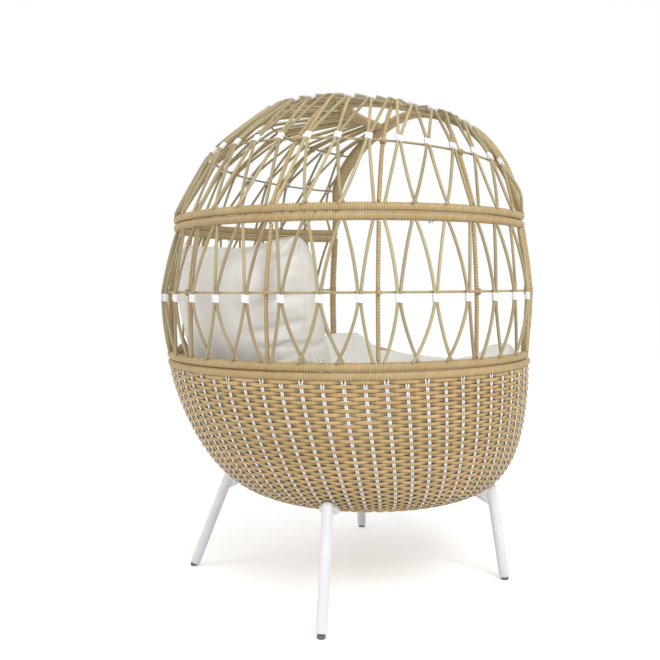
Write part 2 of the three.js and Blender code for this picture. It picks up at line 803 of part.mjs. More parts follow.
function addLeg(name, angle, splay) {
  const foot = around(angle, footRadius, 0, 0);
  const outward = foot.clone().setZ(0).normalize();
  const run = outward.clone().multiplyScalar(-splay).setZ(1);
  const meet = legMeets(foot, run);
  const normal = basketNormal(meet);
  const topEnd = meet.clone().addScaledVector(run, legTube / 2);
  const tube = bar(foot.clone(), topEnd, legTube / 2, 10);

  const plate = new THREE.Shape([
    new THREE.Vector2(splay * gusset.drop, -gusset.drop),
    new THREE.Vector2((-splay * gusset.drop) / 2, gusset.drop / 2),
    new THREE.Vector2(-gusset.reach, gusset.drop / 2),
    new THREE.Vector2(-gusset.reach, -gusset.drop / 3),
  ]);
  const web = new THREE.ExtrudeGeometry(plate, { depth: gusset.thickness, bevelEnabled: false });
  web.translate(0, 0, -gusset.thickness / 2);
  const across = new THREE.Vector3(0, 0, 1).cross(outward);
  web.applyMatrix4(
    new THREE.Matrix4().makeBasis(outward, new THREE.Vector3(0, 0, 1), across.negate()),
  );
  web.translate(...meet.toArray());

  const seatMiddle = meet.clone().addScaledVector(outward, -gusset.reach / 2);
  const share = { low: 0, high: 1 };
  for (let i = 0; i < 40; i++) {
    const middle = (share.low + share.high) / 2;
    const distance = Math.hypot(seatMiddle.x, seatMiddle.y + basketForward(middle));
    if (distance < basketRadiusAt(middle)) share.low = middle;
    else share.high = middle;
  }
  seatMiddle.z = basket.top - basket.depth * share.low;
  const seatNormal = basketNormal(seatMiddle);
  const pad = bar(
    seatMiddle.clone().addScaledVector(seatNormal, saddle.thickness),
    seatMiddle.clone().addScaledVector(seatNormal, -basketWall),
    saddle.radius,
    10,
  );

  const holeEnd = seatMiddle.clone().addScaledVector(seatNormal, legBolt.grip + cutMargin);
  const insideEnd = seatMiddle.clone().addScaledVector(seatNormal, -3 * basketWall);
  const hole = bar(holeEnd, insideEnd, legBolt.radius + cutMargin, 8);
  const headSeat = seatMiddle.clone().addScaledVector(seatNormal, -basketWall - 4 * clearance);
  shellHoles.push(hole, bar(headSeat.clone(), insideEnd, legBolt.headRadius + cutMargin, 12));
  const leg = cut(join([tube, solidOf(web), pad]), grownBowl, belowLegs, hole);
  addPiece("leg_" + name, leg, whitePaint);

  const headFoot = headSeat.clone().addScaledVector(seatNormal, -cutMargin);
  const bolt = bar(
    headFoot.clone().addScaledVector(seatNormal, -legBolt.headHeight / 2),
    seatMiddle.clone().addScaledVector(seatNormal, legBolt.grip),
    legBolt.radius,
    8,
  );
  const head = bar(
    headFoot.clone(),
    headFoot.clone().addScaledVector(seatNormal, -legBolt.headHeight),
    legBolt.headRadius,
    12,
  );
  addPiece("leg_bolt_" + name, bolt.add(head), zincSteel);

  const footTop = glide.height;
  const profile = [
    new THREE.Vector2(0, 0),
    new THREE.Vector2(glide.radius, 0),
    new THREE.Vector2(glide.radius, footTop),
    new THREE.Vector2(0, footTop),
  ];
  const footGlide = new THREE.LatheGeometry(profile, 14);
  footGlide.rotateX(Math.PI / 2);
  footGlide.translate(...foot.toArray());
  addPiece("glide_" + name, solidOf(footGlide), greyPlastic);
}

bothSides((side, word) => {
  for (const end of ["front", "rear"])
    addLeg(end + "_" + word, side * legAngles[end], legSplay[end]);
});

addPiece("basket_shell", cut(bowlShell(), ...shellHoles), wovenWicker);

// ---- Cushions --------------------------------------------------------------------------------

// How far back the pillow's middle lies: its upper corners come up against the cage, or its lower ones
// against the basket's wall.
function pillowBack() {
  const tilt = (pillow.height / 2) * Math.sin(rad(pillow.lean));
  const cornerBack = (radius, forward) =>
    Math.sqrt((radius - pillowGap) ** 2 - (pillow.width / 2) ** 2) - forward;
  const cage = Math.min(upperJoint.radius, waist.radius - ribInset - ribRadius);
  const share = depthShareAt(pillow.bottomZ);
  const wall = basketRadiusAt(share) - basketWall;
  return Math.min(
    cornerBack(cage, Math.max(upperJoint.forward, waist.forward) - rodRadius) - tilt,
    cornerBack(wall, basketForward(share)) + tilt,
  );
}

// The back pillow, crowned on both faces, with its sides drawn in between the corners.
function pillowSolid(grow = 0) {
  const count = 8;
  const halfW = pillow.width / 2 + grow;
  const halfH = pillow.height / 2 + grow;
  const halfT = pillow.thickness / 2 + grow;
  const middleZ = pillow.bottomZ + pillow.height / 2;
  const placed = new THREE.Matrix4().makeTranslation(0, pillowBack(), middleZ);
  placed.multiply(new THREE.Matrix4().makeRotationX(-rad(pillow.lean)));
  const spot = (u, v, side) => {
    const pull = (other) => 1 - pillow.drawIn * (1 - other * other);
    const puff = Math.sqrt(Math.max(0, (1 - u ** 4) * (1 - v ** 4)));
    const p = new THREE.Vector3(u * halfW * pull(v), side * halfT * puff, v * halfH * pull(u));
    return p.applyMatrix4(placed);
  };
  const square = (level) => {
    const points = [];
    for (let i = 0; i < count; i++) points.push([-level + (2 * level * i) / count, -level]);
    for (let i = 0; i < count; i++) points.push([level, -level + (2 * level * i) / count]);
    for (let i = 0; i < count; i++) points.push([level - (2 * level * i) / count, level]);
    for (let i = 0; i < count; i++) points.push([-level, level - (2 * level * i) / count]);
    return points;
  };
  const levels = [0.25, 0.5, 0.72, 0.88, 0.965];
  const front = levels.map((l) => square(l).map(([u, v]) => spot(u, v, -1)));
  const edge = square(1).map(([u, v]) => spot(u, v, -1));
  const back = levels.map((l) => square(l).map(([u, v]) => spot(u, v, 1))).reverse();
  return skin([...front, edge, ...back].reverse(), spot(0, 0, 1), spot(0, 0, -1));
}

// Height of the seat cushion's rolled edge: low at the back, high beside the posts, scooped in front.
function seatEdge(angle) {
  const turn = Math.abs(((angle + 540) % 360) - 180);
  const toSide = THREE.MathUtils.smoothstep(turn, openingHalfAngle - 16, openingHalfAngle - 3);
  const toBack = THREE.MathUtils.smoothstep(turn, 88, 125);
  const side = THREE.MathUtils.lerp(seat.frontTop, seat.sideTop, toSide);
  return THREE.MathUtils.lerp(side, seat.backTop, toBack);
}

function seatSolid() {
  const columns = 30;
  const turns = Array.from({ length: columns }, (_, i) => (360 * i) / columns);
  const rings = [];
  const ringOf = (place) => rings.push(turns.map((angle) => place(angle)));
  for (const [step, gap] of seat.wallGaps) {
    const reach = basketWall + gap;
    const ring = bowlRing(step, reach, turns);
    ringOf((angle) => {
      const top = depthShareAt(seatEdge(angle) - seat.roll);
      const highest = basketPoint(angle, Math.max(top, 0.06));
      const p = ring[turns.indexOf(angle)];
      return p.z < highest.z ? p : highest.addScaledVector(basketNormal(highest), -reach);
    });
  }
  const wallGap = seat.wallGaps.at(-1)[1];
  const edgeOf = (angle, down) => {
    const z = seatEdge(angle) + down;
    const share = THREE.MathUtils.clamp(depthShareAt(z), 0, 1);
    const ring = lowerJoint.radius - ringRadius - seat.ringGap;
    const radius = Math.min(ring, basketRadiusAt(share) - basketWall - wallGap);
    return { z, radius, forward: basketForward(share) };
  };
  const roll = [
    [0, -seat.roll * 0.6],
    [seat.roll * 0.35, -seat.roll * 0.12],
    [seat.roll, 0],
    [seat.roll * 1.9, -seat.roll * 0.35],
  ];
  for (const [inward, down] of roll)
    ringOf((angle) => {
      const edge = edgeOf(angle, down);
      return around(angle, edge.radius - inward, edge.z, edge.forward);
    });
  for (const [share, rise] of [
    [0.62, 0.34],
    [0.36, 0.06],
  ])
    ringOf((angle) => {
      const edge = edgeOf(angle, 0);
      const z = THREE.MathUtils.lerp(seat.dish, edge.z, rise);
      return around(angle, edge.radius * share, z, edge.forward);
    });
  return skin(
    rings,
    floorCentre(basketWall + 2 * clearance),
    around(0, 0, seat.dish, basketForward(0.4)),
  );
}

addPiece("back_cushion", pillowSolid(), canvas);
addPiece("seat_cushion", cut(seatSolid(), pillowSolid(cutMargin)), canvas);

// The origin lies on the floor, under the middle of the whole chair's box.
const box = new THREE.Box3().setFromObject(chair);
chair.position.set(-(box.min.x + box.max.x) / 2, -(box.min.y + box.max.y) / 2, -box.min.z);

export default model;
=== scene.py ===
# Egg-shaped garden chair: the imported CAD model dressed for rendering. Lengths below are millimetres
# in the CAD's own axes, with the egg's axis at x = y = 0 and the open front facing -Y; to_metres()
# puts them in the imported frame. Angles go round the axis in degrees, 0 at the front, positive to +X.
import math

import bpy
import numpy as np
from mathutils import Matrix, Vector


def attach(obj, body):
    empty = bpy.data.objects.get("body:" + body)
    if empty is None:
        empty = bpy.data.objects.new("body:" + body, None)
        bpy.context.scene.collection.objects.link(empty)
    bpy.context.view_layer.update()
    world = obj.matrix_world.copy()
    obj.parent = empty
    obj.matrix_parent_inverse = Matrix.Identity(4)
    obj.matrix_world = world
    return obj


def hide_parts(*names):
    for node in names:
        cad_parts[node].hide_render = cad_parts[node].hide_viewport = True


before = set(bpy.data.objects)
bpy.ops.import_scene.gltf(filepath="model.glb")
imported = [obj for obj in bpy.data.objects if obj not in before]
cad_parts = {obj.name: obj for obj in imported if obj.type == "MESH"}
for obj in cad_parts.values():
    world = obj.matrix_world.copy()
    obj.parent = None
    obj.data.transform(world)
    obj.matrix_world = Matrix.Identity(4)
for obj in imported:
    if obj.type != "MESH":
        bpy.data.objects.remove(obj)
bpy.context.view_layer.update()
rng = np.random.default_rng(7)

# ---- Driving dimensions, as in the CAD ----

SHIFT_Y = 8.069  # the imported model's origin lies under the middle of its box
RING = 10.75
RIB = 5.25
HOOP = 3.0
ROD = 4.0
OPENING = 57.7
ARCH_ANGLE = 59.7  # the arch leans back to here above its feet
DOME_HOOP_START = 62.35
RIBS = [90, 120, 150, 180, 210, 240, 270]
RIB_NAMES = ["side_left", "rear_side_left", "rear_left", "back"]
RIB_NAMES += ["rear_right", "rear_side_right", "side_right"]
SIDES = ((1, "left"), (-1, "right"))
CLIP_PITCH = 10
CLIPS_PER_BAY = 3
CLIP = {"wide": 19, "thick": 11.2, "height": 20}
CROSS_CLIP = {"wide": 25, "thick": 14.5, "height": 20}  # goes round the rods where they cross
BAY_STARTS = [65, 95, 125, 155]
UPPER = {"radius": 494, "z": 1026, "forward": 19}
WAIST = {"radius": 521, "z": 837, "forward": 12}
LOWER = {"radius": 511, "z": 652, "forward": 13}
CLIP_Z = 823  # the middle section's clips stand just below the waist hoop
CLIP_ROW = {"share": 0.129, "z": 1198.5, "rise": 0.0723}
CROSS_ROW = {"share": 0.36, "z": 1325.7, "rise": 0.152}
CROSS_RADIUS = 316
ARCH_SHOULDER = {"share": 0.36, "z": 1323.3, "rise": 0.152}
ARCH_MID = {"share": 0.666, "z": 1345, "rise": 0}
ARCH_BAND = {"half": 10.5, "back": 35, "from": 1100, "to": 1230}
LOOP_BAND = (9.5, 22)
LOOP_HALF = [(133, 0, 1352), (121, 66, 1361), (97, 148, 1369), (56, 216, 1376), (0, 241, 1379)]
LOOP_FRONT = 4.3  # the crown loop's ends stand this far behind the arch's middle
BASKET_TOP, BASKET_RADIUS, BASKET_DEPTH, BASKET_OUTSET = 632, 517, 392.6, 6
BASKET_CURVE = 1.45
RIM_DIP, RIM_DIP_END = 104, 54  # the rim's dip at the front, and the angle where it ends
FOOT_RADIUS = 466
LEG_TUBE = 14.5
GLIDE_HEIGHT = 8
RING_GAP = 0.15  # half the gap between the doubled rings

DOME_RING_Z = UPPER["z"] + RING_GAP + RING
UPPER_RING_Z = UPPER["z"] - RING_GAP - RING
LOWER_RING_Z = LOWER["z"] + RING_GAP + RING
RIM_Z = LOWER["z"] - RING_GAP - RING
ROD_OUT = HOOP + 3.5 + ROD
RIB_IN = HOOP + 0.6 + 1.1 * RIB
UP = np.array([0.0, 0.0, 1.0])


def vec(*numbers):
    return np.array(numbers, float)


def unit(v):
    v = np.asarray(v, float)
    return v / np.maximum(np.linalg.norm(v, axis=-1, keepdims=True), 1e-9)


def around(angle, radius, z, forward=0.0):
    a = np.radians(angle)
    x = radius * np.sin(a)
    y = -radius * np.cos(a) - forward
    return np.stack(np.broadcast_arrays(x, y, np.asarray(z, float)), -1)


def level(part, angle, z, out=0.0):
    return around(angle, part["radius"] + out, z, part["forward"])


ARCH_Y = float(level(UPPER, ARCH_ANGLE, 0)[1])
APEX = vec(0, ARCH_Y, 1374)


def dome_point(angle, row, out=0.0):
    """A point of the dome between the ring and the arch's apex, raised off the surface by out."""
    foot = level(UPPER, angle, 0)
    p = foot + (APEX - foot) * row["share"]
    p[2] = row["z"] + row["rise"] * p[1]
    return p + dome_outward(angle, row) * out


def dome_outward(angle, row):
    foot = level(UPPER, angle, 0)
    flat = unit(vec(foot[0], foot[1] + UPPER["forward"], 0)) * (1 - row["share"])
    return unit(vec(flat[0], flat[1], 0.4 + row["share"]))


def catmull(points, per_run=24):
    """Centripetal Catmull-Rom curve through points, densely sampled."""
    p = np.asarray(points, float)
    p = np.vstack([2 * p[0] - p[1], p, 2 * p[-1] - p[-2]])
    runs = []
    for a, b, c, d in zip(p, p[1:], p[2:], p[3:], strict=False):
        gaps = [max(np.linalg.norm(v) ** 0.5, 1e-4) for v in (b - a, c - b, d - c)]
        ta = ((b - a) / gaps[0] - (c - a) / (gaps[0] + gaps[1]) + (c - b) / gaps[1]) * gaps[1]
        tb = ((c - b) / gaps[1] - (d - b) / (gaps[1] + gaps[2]) + (d - c) / gaps[2]) * gaps[1]
        t = (np.arange(per_run) / per_run)[:, None]
        c2, c3 = -3 * b + 3 * c - 2 * ta - tb, 2 * b - 2 * c + ta + tb
        runs.append(b + ta * t + c2 * t**2 + c3 * t**3)
    return np.vstack([*runs, p[-2][None]])


class Path:
    """A dense curve that can be asked for points and tangents at distances along it."""

    def __init__(self, points, closed=False):
        self.points = np.asarray(points, float)
        self.closed = closed
        steps = np.linalg.norm(np.diff(self.points, axis=0), axis=1)
        self.along = np.concatenate([[0], np.cumsum(steps)])
        self.length = self.along[-1]

    def at(self, s):
        if self.closed:
            s = np.mod(s, self.length)
        inside = np.clip(s, 0, self.length)
        p = np.stack([np.interp(inside, self.along, c) for c in self.points.T], -1)
        if not self.closed:
            before = np.minimum(s, 0)[..., None] * unit(self.points[1] - self.points[0])
            after = np.maximum(s - self.length, 0)[..., None]
            p = p + before + after * unit(self.points[-1] - self.points[-2])
        return p

    def tangent(self, s):
        return unit(self.at(s + 2.0) - self.at(s - 2.0))


# ---- Meshes ----


def tube_faces(rows, sides):
    """Quads between rows of points, and triangles that close the ends on two points after them."""
    index = np.arange(rows * sides).reshape(rows, sides)
    turned = np.roll(index, -1, axis=1)
    quads = np.stack([index[:-1], turned[:-1], turned[1:], index[1:]], -1).reshape(-1, 4)
    middle = np.full(sides, index.size)
    tris = np.hstack([[middle, turned[0], index[0]], [middle + 1, index[-1], turned[-1]]]).T
    return quads, tris


def strip_rows(along, across, tone, ends=False):
    """Values of the strip attribute; ends repeats the first and last for a tube's end points."""
    rows = np.stack(np.broadcast_arrays(along, across, tone), -1).reshape(-1, 3)
    return np.vstack([rows, rows[:1], rows[-1:]]) if ends else rows


class Build:
    """Gathers points and faces. strip holds, for each point, the distance along its strip in metres,
    the place across it and the strip's own tone; rise is 0 in a groove and 1 on a crest, and the
    materials darken the colour towards 0 as painted shade in the grooves."""

    def __init__(self):
        self.parts = []
        self.count = 0

    def add(self, points, quads, tris, strip, rise):
        quads = np.asarray(quads, int).reshape(-1, 4) + self.count
        tris = np.asarray(tris, int).reshape(-1, 3) + self.count
        self.parts.append((points, quads, tris, strip, rise))
        self.count += len(points)

    def add_plain(self, points, rows, sides):
        """A closed tube without strip."""
        strip = np.tile([0.0, 0.0, 0.5], (len(points), 1))
        self.add(points, *tube_faces(rows, sides), strip, np.full(len(points), 0.8))


def to_metres(points):
    return (points + vec(0, SHIFT_Y, 0)) / 1000


def new_object(name, data):
    item = bpy.data.objects.new(name, data)
    bpy.context.scene.collection.objects.link(item)
    return item


def add_piece(name, build, look, replaces=()):
    """A piece of all that build holds. look is its material and a slot name; the slot name is not used.
    """
    points, quads, tris, strips, rises = map(np.concatenate, zip(*build.parts, strict=True))
    mesh = bpy.data.meshes.new(name)
    mesh.vertices.add(len(points))
    mesh.vertices.foreach_set("co", to_metres(points).astype(np.float32).ravel())
    corners = np.append(quads, tris)
    mesh.loops.add(len(corners))
    mesh.loops.foreach_set("vertex_index", corners.astype(np.int32))
    starts = np.append(np.arange(len(quads)) * 4, quads.size + np.arange(len(tris)) * 3)
    mesh.polygons.add(len(starts))
    mesh.polygons.foreach_set("loop_start", starts.astype(np.int32))
    mesh.polygons.foreach_set("use_smooth", np.ones(len(starts), bool))
    mesh.update(calc_edges=True)
    mesh.validate()
    strip = mesh.attributes.new("strip", "FLOAT_VECTOR", "POINT")
    strip.data.foreach_set("vector", strips.astype(np.float32).ravel())
    rise = mesh.attributes.new("rise", "FLOAT", "POINT")
    rise.data.foreach_set("value", rises.astype(np.float32))
    material, slot = look
    mesh.materials.append(material)
    return settle(new_object(name, mesh), slot, replaces)


def settle(piece, slot, replaces=()):
    if replaces:
        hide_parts(*replaces)
    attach(piece, "root")
    return piece


def frames(path, s, ref):
    """Two unit directions across the path at distances s, the first as near ref as can be."""
    t = path.tangent(s)
    r = ref(path.at(s)) if callable(ref) else np.broadcast_to(ref, t.shape)
    first = unit(r - np.sum(r * t, -1, keepdims=True) * t)
    return first, np.cross(t, first)


def outward(forward):
    """Direction away from the axis, level."""

    def away(p):
        flat = p + vec(0, forward, 0)
        return unit(flat * vec(1, 1, 0))

    return away


def squarer(x, power):
    """A sine or cosine, drawn towards -1 and 1 where power is under 1."""
    return np.sign(x) * np.abs(x) ** power


def wound_tube(build, path, radius, pitch, sides, ref, size=None, round_ends=0.0):
    """A tube wound with flat strip: one crowned turn of strip after another along a helix. size, if
    given, returns the half sizes along the two cross directions, and the path's side shift."""
    crown = np.array([0.935, 0.992, 1.0, 0.985])
    # lift is each row's rise: 0 in the groove between turns, where the material paints shade.
    lift = np.array([0.0, 0.8, 1.0, 0.75])
    per_turn = len(crown)
    if path.closed:
        turns = round(path.length / pitch)
        pitch = path.length / turns
        rows = turns * per_turn
    else:
        turns = int((path.length - pitch) / pitch)
        rows = turns * per_turn + 1
    i = np.arange(rows)[:, None]
    j = np.arange(sides)[None, :]
    a = 2 * np.pi * j / sides
    s = i * pitch / per_turn + pitch * a / (2 * np.pi)
    if not path.closed:
        s = s * path.length / (rows / per_turn * pitch + pitch * 0.75)
    first, second = frames(path, s, ref)
    turn = i // per_turn + 0 * j
    tones = rng.random(turns + 2)
    knots = np.arange(0, turns + 16, 14)
    slow = np.interp(np.arange(turns + 2), knots, rng.random(len(knots)))
    tones = 0.55 * tones + 0.45 * slow
    jitter = 1 + 0.014 * (rng.random(turns + 2) - 0.5)
    grow = crown[i % per_turn] * jitter[turn]
    centre = path.at(s)
    if round_ends:
        near = np.minimum(s, path.length - s)
        grow = grow * np.sqrt(np.clip(1 - np.clip(1 - near / round_ends, 0, 1) ** 2, 0.02, 1))
    half_a, half_b, offset = size(centre) if size else (radius, radius, 0.0)
    power = np.where(half_b > half_a * 1.15, 0.62, 1.0)
    over = squarer(np.cos(a), power) * half_a * grow
    beside = squarer(np.sin(a), power) * half_b * grow + offset
    points = (centre + first * over[..., None] + second * beside[..., None]).reshape(-1, 3)
    index = np.arange(rows * sides).reshape(rows, sides)
    strip = strip_rows(
        (turn + np.abs(a / np.pi - 1)) * 0.06, (i % per_turn) / per_turn, tones[turn]
    )
    rise = (lift[i % per_turn] + 0 * j).reshape(-1)
    if path.closed:
        sideways = np.roll(index, -1, axis=1)
        sideways[:, -1] = np.roll(index[:, 0], -per_turn)
        after = np.roll(sideways, -1, axis=0)
        quads = np.stack([index, sideways, after, np.roll(index, -1, axis=0)], -1)
        build.add(points, quads, [], strip, rise)
        return
    body = np.stack([index[:-1, :-1], index[:-1, 1:], index[1:, 1:], index[1:, :-1]], -1)
    seam = [index[: -per_turn - 1, -1], index[per_turn:-1, 0]]
    seam += [index[per_turn + 1 :, 0], index[1:-per_turn, -1]]
    quads = np.vstack([body.reshape(-1, 4), np.stack(seam, -1)])
    start = [*index[0], *index[per_turn:0:-1, 0]]
    end = [index[-1, 0], *index[-1, 1:], *index[-2 : -per_turn - 2 : -1, -1]]
    tris = [(index.size, c, b) for b, c in zip(start, start[1:] + start[:1], strict=True)]
    tris += [(index.size + 1, b, c) for b, c in zip(end, end[1:] + end[:1], strict=True)]
    points = np.vstack([points, points[start].mean(0), points[end].mean(0)])
    # The two end middles take rise 0, so painted groove shade darkens the middle of each end.
    build.add(points, quads, tris, np.vstack([strip, strip[-2:]]), np.append(rise, [0, 0]))


def rod(build, path, radius, ref, step=7.0):
    """A smooth round rod with closed ends."""
    rows, sides = int(path.length / step) + 1, 10
    s = np.linspace(0, path.length, rows)
    first, second = frames(path, s, ref)
    a = 2 * np.pi * np.arange(sides) / sides
    size = radius * (1 + 0.03 * np.sin(s / 61 + rng.random() * 6))
    ring = first[:, None] * np.cos(a)[:, None] + second[:, None] * np.sin(a)[:, None]
    points = (path.at(s)[:, None] + ring * size[:, None, None]).reshape(-1, 3)
    points = np.vstack([points, path.at(np.array([0.0, path.length]))])
    tone = rng.random()
    along = s[:, None] / 1000 + rng.random()
    strip = strip_rows(along, np.abs(a / np.pi - 1), tone, ends=True)
    build.add(points, *tube_faces(rows, sides), strip, np.full(len(points), 0.7))


def band(build, centre, axis, face, wide, thick, height, turns=3, power=0.55):
    """A binding of strip round a pair of rods: a rounded slab with its turns along axis."""
    axis, face = unit(axis), unit(face)
    side = np.cross(axis, face)
    rows, sides = turns * 4 + 1, 20
    s = np.linspace(-height / 2, height / 2, rows)[:, None]
    crown = np.resize([0.955, 0.995, 1.0, 0.99], rows)
    crown[[0, -1]] = 0.93
    a = 2 * np.pi * np.arange(sides) / sides
    over = squarer(np.cos(a), power) * thick / 2
    beside = squarer(np.sin(a), power) * wide / 2
    lean = 0.35 * height / turns
    points = (
        centre
        + axis * (s + lean * (beside / wide))[..., None]
        + face * (over * crown[:, None])[..., None]
        - side * (beside * crown[:, None])[..., None]
    ).reshape(-1, 3)
    points = np.vstack([points, points[:sides].mean(0), points[-sides:].mean(0)])
    quads, tris = tube_faces(rows, sides)
    strip = strip_rows(a * 0.01, s / height, rng.random(), ends=True)
    # rise is 0 in the grooves between the turns and at the end middles, where the material paints shade.
    rise = np.append(np.repeat(np.resize([0.0, 0.8, 1.0, 0.8], rows), sides), [0, 0])
    build.add(points, quads[:, [0, 3, 2, 1]], tris[:, [0, 2, 1]], strip, rise)


def lathe(build, centre, axis, profile, sides):
    """A turned piece: profile holds (radius, height along axis) from one of its ends to the other."""
    axis = unit(axis)
    first = unit(np.cross(axis, vec(0.31, 0.87, 0.17)))
    second = np.cross(axis, first)
    a = 2 * np.pi * np.arange(sides) / sides
    ring = first * np.cos(a)[:, None] + second * np.sin(a)[:, None]
    points = [centre + axis * h + ring * r for r, h in profile]
    points += [centre + axis * profile[0][1], centre + axis * profile[-1][1]]
    build.add_plain(np.vstack(points), len(profile), sides)


# ---- Materials ----

WHITE = (1, 1, 1, 1)


def srgb(r, g, b):
    def linear(c):
        c /= 255
        return c / 12.92 if c <= 0.04045 else ((c + 0.055) / 1.055) ** 2.4

    return (linear(r), linear(g), linear(b), 1.0)


class Nodes:
    """Short calls for the nodes of a material or a world."""

    def __init__(self, owner, shader="Principled BSDF", **values):
        owner.use_nodes = True
        self.owner = owner
        self.tree = owner.node_tree
        self.shader = self.tree.nodes[shader]
        for socket, value in values.items():
            self.shader.inputs[socket.replace("_", " ")].default_value = value

    def link(self, out, into):
        self.tree.links.new(out, into)

    def add(self, kind, inputs, **settings):
        """Outputs of a new node. Its inputs are plain values or other nodes' outputs."""
        node = self.tree.nodes.new(kind)
        for key, value in settings.items():
            setattr(node, key, value)
        for socket, value in inputs.items():
            if isinstance(value, bpy.types.NodeSocket):
                self.link(value, node.inputs[socket])
            else:
                node.inputs[socket].default_value = value
        return node.outputs

    def coordinates(self):
        return self.add("ShaderNodeTexCoord", {})["Object"]

    def attribute(self, name, output="Vector"):
        return self.add("ShaderNodeAttribute", {}, attribute_name=name)[output]

    def scaled(self, vector, scale):
        return self.add("ShaderNodeVectorMath", {0: vector, 1: scale}, operation="MULTIPLY")[0]

    def maths(self, operation, a, b):
        return self.add("ShaderNodeMath", {0: a, 1: b}, operation=operation)[0]

    def noise(self, vector, scale, detail=2.0, roughness=0.5):
        inputs = {"Vector": vector, "Scale": scale, "Detail": detail, "Roughness": roughness}
        return self.add("ShaderNodeTexNoise", inputs)["Fac"]

    def ramp(self, value, *stops):
        node = self.tree.nodes.new("ShaderNodeValToRGB")
        self.link(value, node.inputs[0])
        elements = node.color_ramp.elements
        while len(elements) < len(stops):
            elements.new(0.5)
        for element, (place, colour) in zip(elements, stops, strict=True):
            element.position, element.color = place, colour
        return node.outputs[0]

    def grey(self, value, low, high, start=0.0, end=1.0):
        inputs = {"Value": value, "To Min": low, "To Max": high}
        return self.add("ShaderNodeMapRange", {**inputs, "From Min": start, "From Max": end})[0]

    def times(self, colour, other, share=1.0):
        inputs = {0: share, 6: colour, 7: other}
        return self.add("ShaderNodeMix", inputs, data_type="RGBA", blend_type="MULTIPLY")[2]

    def painted_groove_shade(self, colour, groove, top):
        """The colour, darkened by groove where the rise attribute is 0, and not from top on: painted
        shade in the grooves and recesses.
        """
        return self.times(colour, self.ramp(self.attribute("rise", "Fac"), (0.0, groove), (top, WHITE)))

    def bump(self, height, strength, distance):
        inputs = {"Height": height, "Strength": strength, "Distance": distance}
        self.link(self.add("ShaderNodeBump", inputs)[0], self.shader.inputs["Normal"])

    def seen_by(self, *kinds):
        """1 for the kinds of ray that are named, and 0 for all others."""
        rays = self.add("ShaderNodeLightPath", {})
        seen = rays[f"Is {kinds[0]} Ray"]
        for kind in kinds[1:]:
            seen = self.maths("MAXIMUM", seen, rays[f"Is {kind} Ray"])
        return seen

    def finish(self, colour, value, low, high, start=0.3, end=0.7):
        """The finished material; its roughness goes from low to high as value goes from start to end."""
        self.link(colour, self.shader.inputs["Base Color"])
        self.link(self.grey(value, low, high, start, end), self.shader.inputs["Roughness"])
        return self.owner


def material_nodes(name, **values):
    return Nodes(bpy.data.materials.new(name), **values)


def wicker(name, tones, groove, roughness, bump=0.35):
    """Plastic wicker strip: a tone for each turn, streaks along the strip, and painted shade that makes
    it darker in the grooves.
    """
    n = material_nodes(name)
    strip = n.attribute("strip")
    tone = n.add("ShaderNodeSeparateXYZ", {0: strip})[2]
    where = n.coordinates()
    patches = n.maths("MULTIPLY", n.noise(where, 7.0), 0.40)
    stops = [(place, srgb(*colour)) for place, colour in tones.items()]
    colour = n.ramp(n.maths("ADD", n.maths("MULTIPLY", tone, 0.62), patches), *stops)
    streaks = n.noise(n.scaled(strip, (30, 7, 60)), 1.6, 3.0, 0.6)
    streaked = n.ramp(streaks, (0.25, (0.80, 0.77, 0.72, 1)), (0.75, (1.1, 1.08, 1.04, 1)))
    colour = n.times(colour, streaked, 0.8)
    # Painted shade: the colour darkens where the rise attribute falls, in the grooves between turns and
    # where a weaver goes behind a stake.
    colour = n.painted_groove_shade(colour, (groove, groove * 0.93, groove * 0.84, 1), 0.75)
    n.bump(n.maths("ADD", streaks, n.noise(where, 900.0)), bump, 0.0004)
    return n.finish(colour, streaks, roughness - 0.08, roughness + 0.12)


# Tones of the strips: place on a scale from 0 to 1, and colour.
WRAP_TONES = {0.10: (166, 142, 98), 0.32: (184, 157, 112), 0.50: (182, 162, 116)}
WRAP_TONES |= {0.68: (194, 171, 126), 0.90: (195, 155, 112)}
WEAVE_TONES = {0.10: (168, 135, 94), 0.34: (189, 157, 110), 0.52: (182, 159, 110)}
WEAVE_TONES |= {0.70: (204, 174, 127), 0.90: (198, 150, 110)}
ROD_TONES = {0.12: (146, 129, 99), 0.34: (172, 162, 122), 0.50: (156, 141, 112)}
ROD_TONES |= {0.68: (186, 174, 133), 0.88: (161, 139, 110)}


def white_strip():
    n = material_nodes("white_strip")
    where = n.coordinates()
    spots = n.noise(where, 60.0, 3.0)
    colour = n.ramp(spots, (0.2, srgb(226, 226, 226)), (0.8, srgb(246, 246, 247)))
    n.bump(n.noise(where, 700.0), 0.25, 0.0003)
    # Painted shade: the white is darkened to 0.88 of its colour in the grooves between the turns.
    return n.finish(n.painted_groove_shade(colour, (0.88, 0.88, 0.89, 1), 0.7), spots, 0.36, 0.5)


def powder_coat():
    n = material_nodes("white_powder_coat")
    where = n.coordinates()
    broad = n.noise(where, 14.0, 3.0)
    colour = n.ramp(broad, (0.25, srgb(220, 221, 227)), (0.75, srgb(232, 233, 238)))
    n.bump(n.noise(where, 1500.0, 1.5), 0.18, 0.0003)
    return n.finish(colour, broad, 0.3, 0.42)


def dark_plastic():
    n = material_nodes("grey_plastic")
    scuffs = n.noise(n.scaled(n.coordinates(), (1, 1, 6)), 160.0, 4.0, 0.7)
    colour = n.ramp(scuffs, (0.3, srgb(84, 86, 90)), (0.7, srgb(112, 113, 116)))
    n.bump(scuffs, 0.3, 0.0003)
    return n.finish(colour, scuffs, 0.5, 0.72)


def zinc():
    n = material_nodes("zinc_steel", Metallic=1.0)
    where = n.coordinates()
    spangle = n.add("ShaderNodeTexVoronoi", {"Vector": where, "Scale": 700.0})["Distance"]
    colour = n.ramp(spangle, (0.0, srgb(168, 170, 173)), (0.6, srgb(205, 207, 210)))
    n.bump(n.noise(where, 1200.0), 0.15, 0.0002)
    return n.finish(colour, spangle, 0.28, 0.45, 0.0, 0.6)


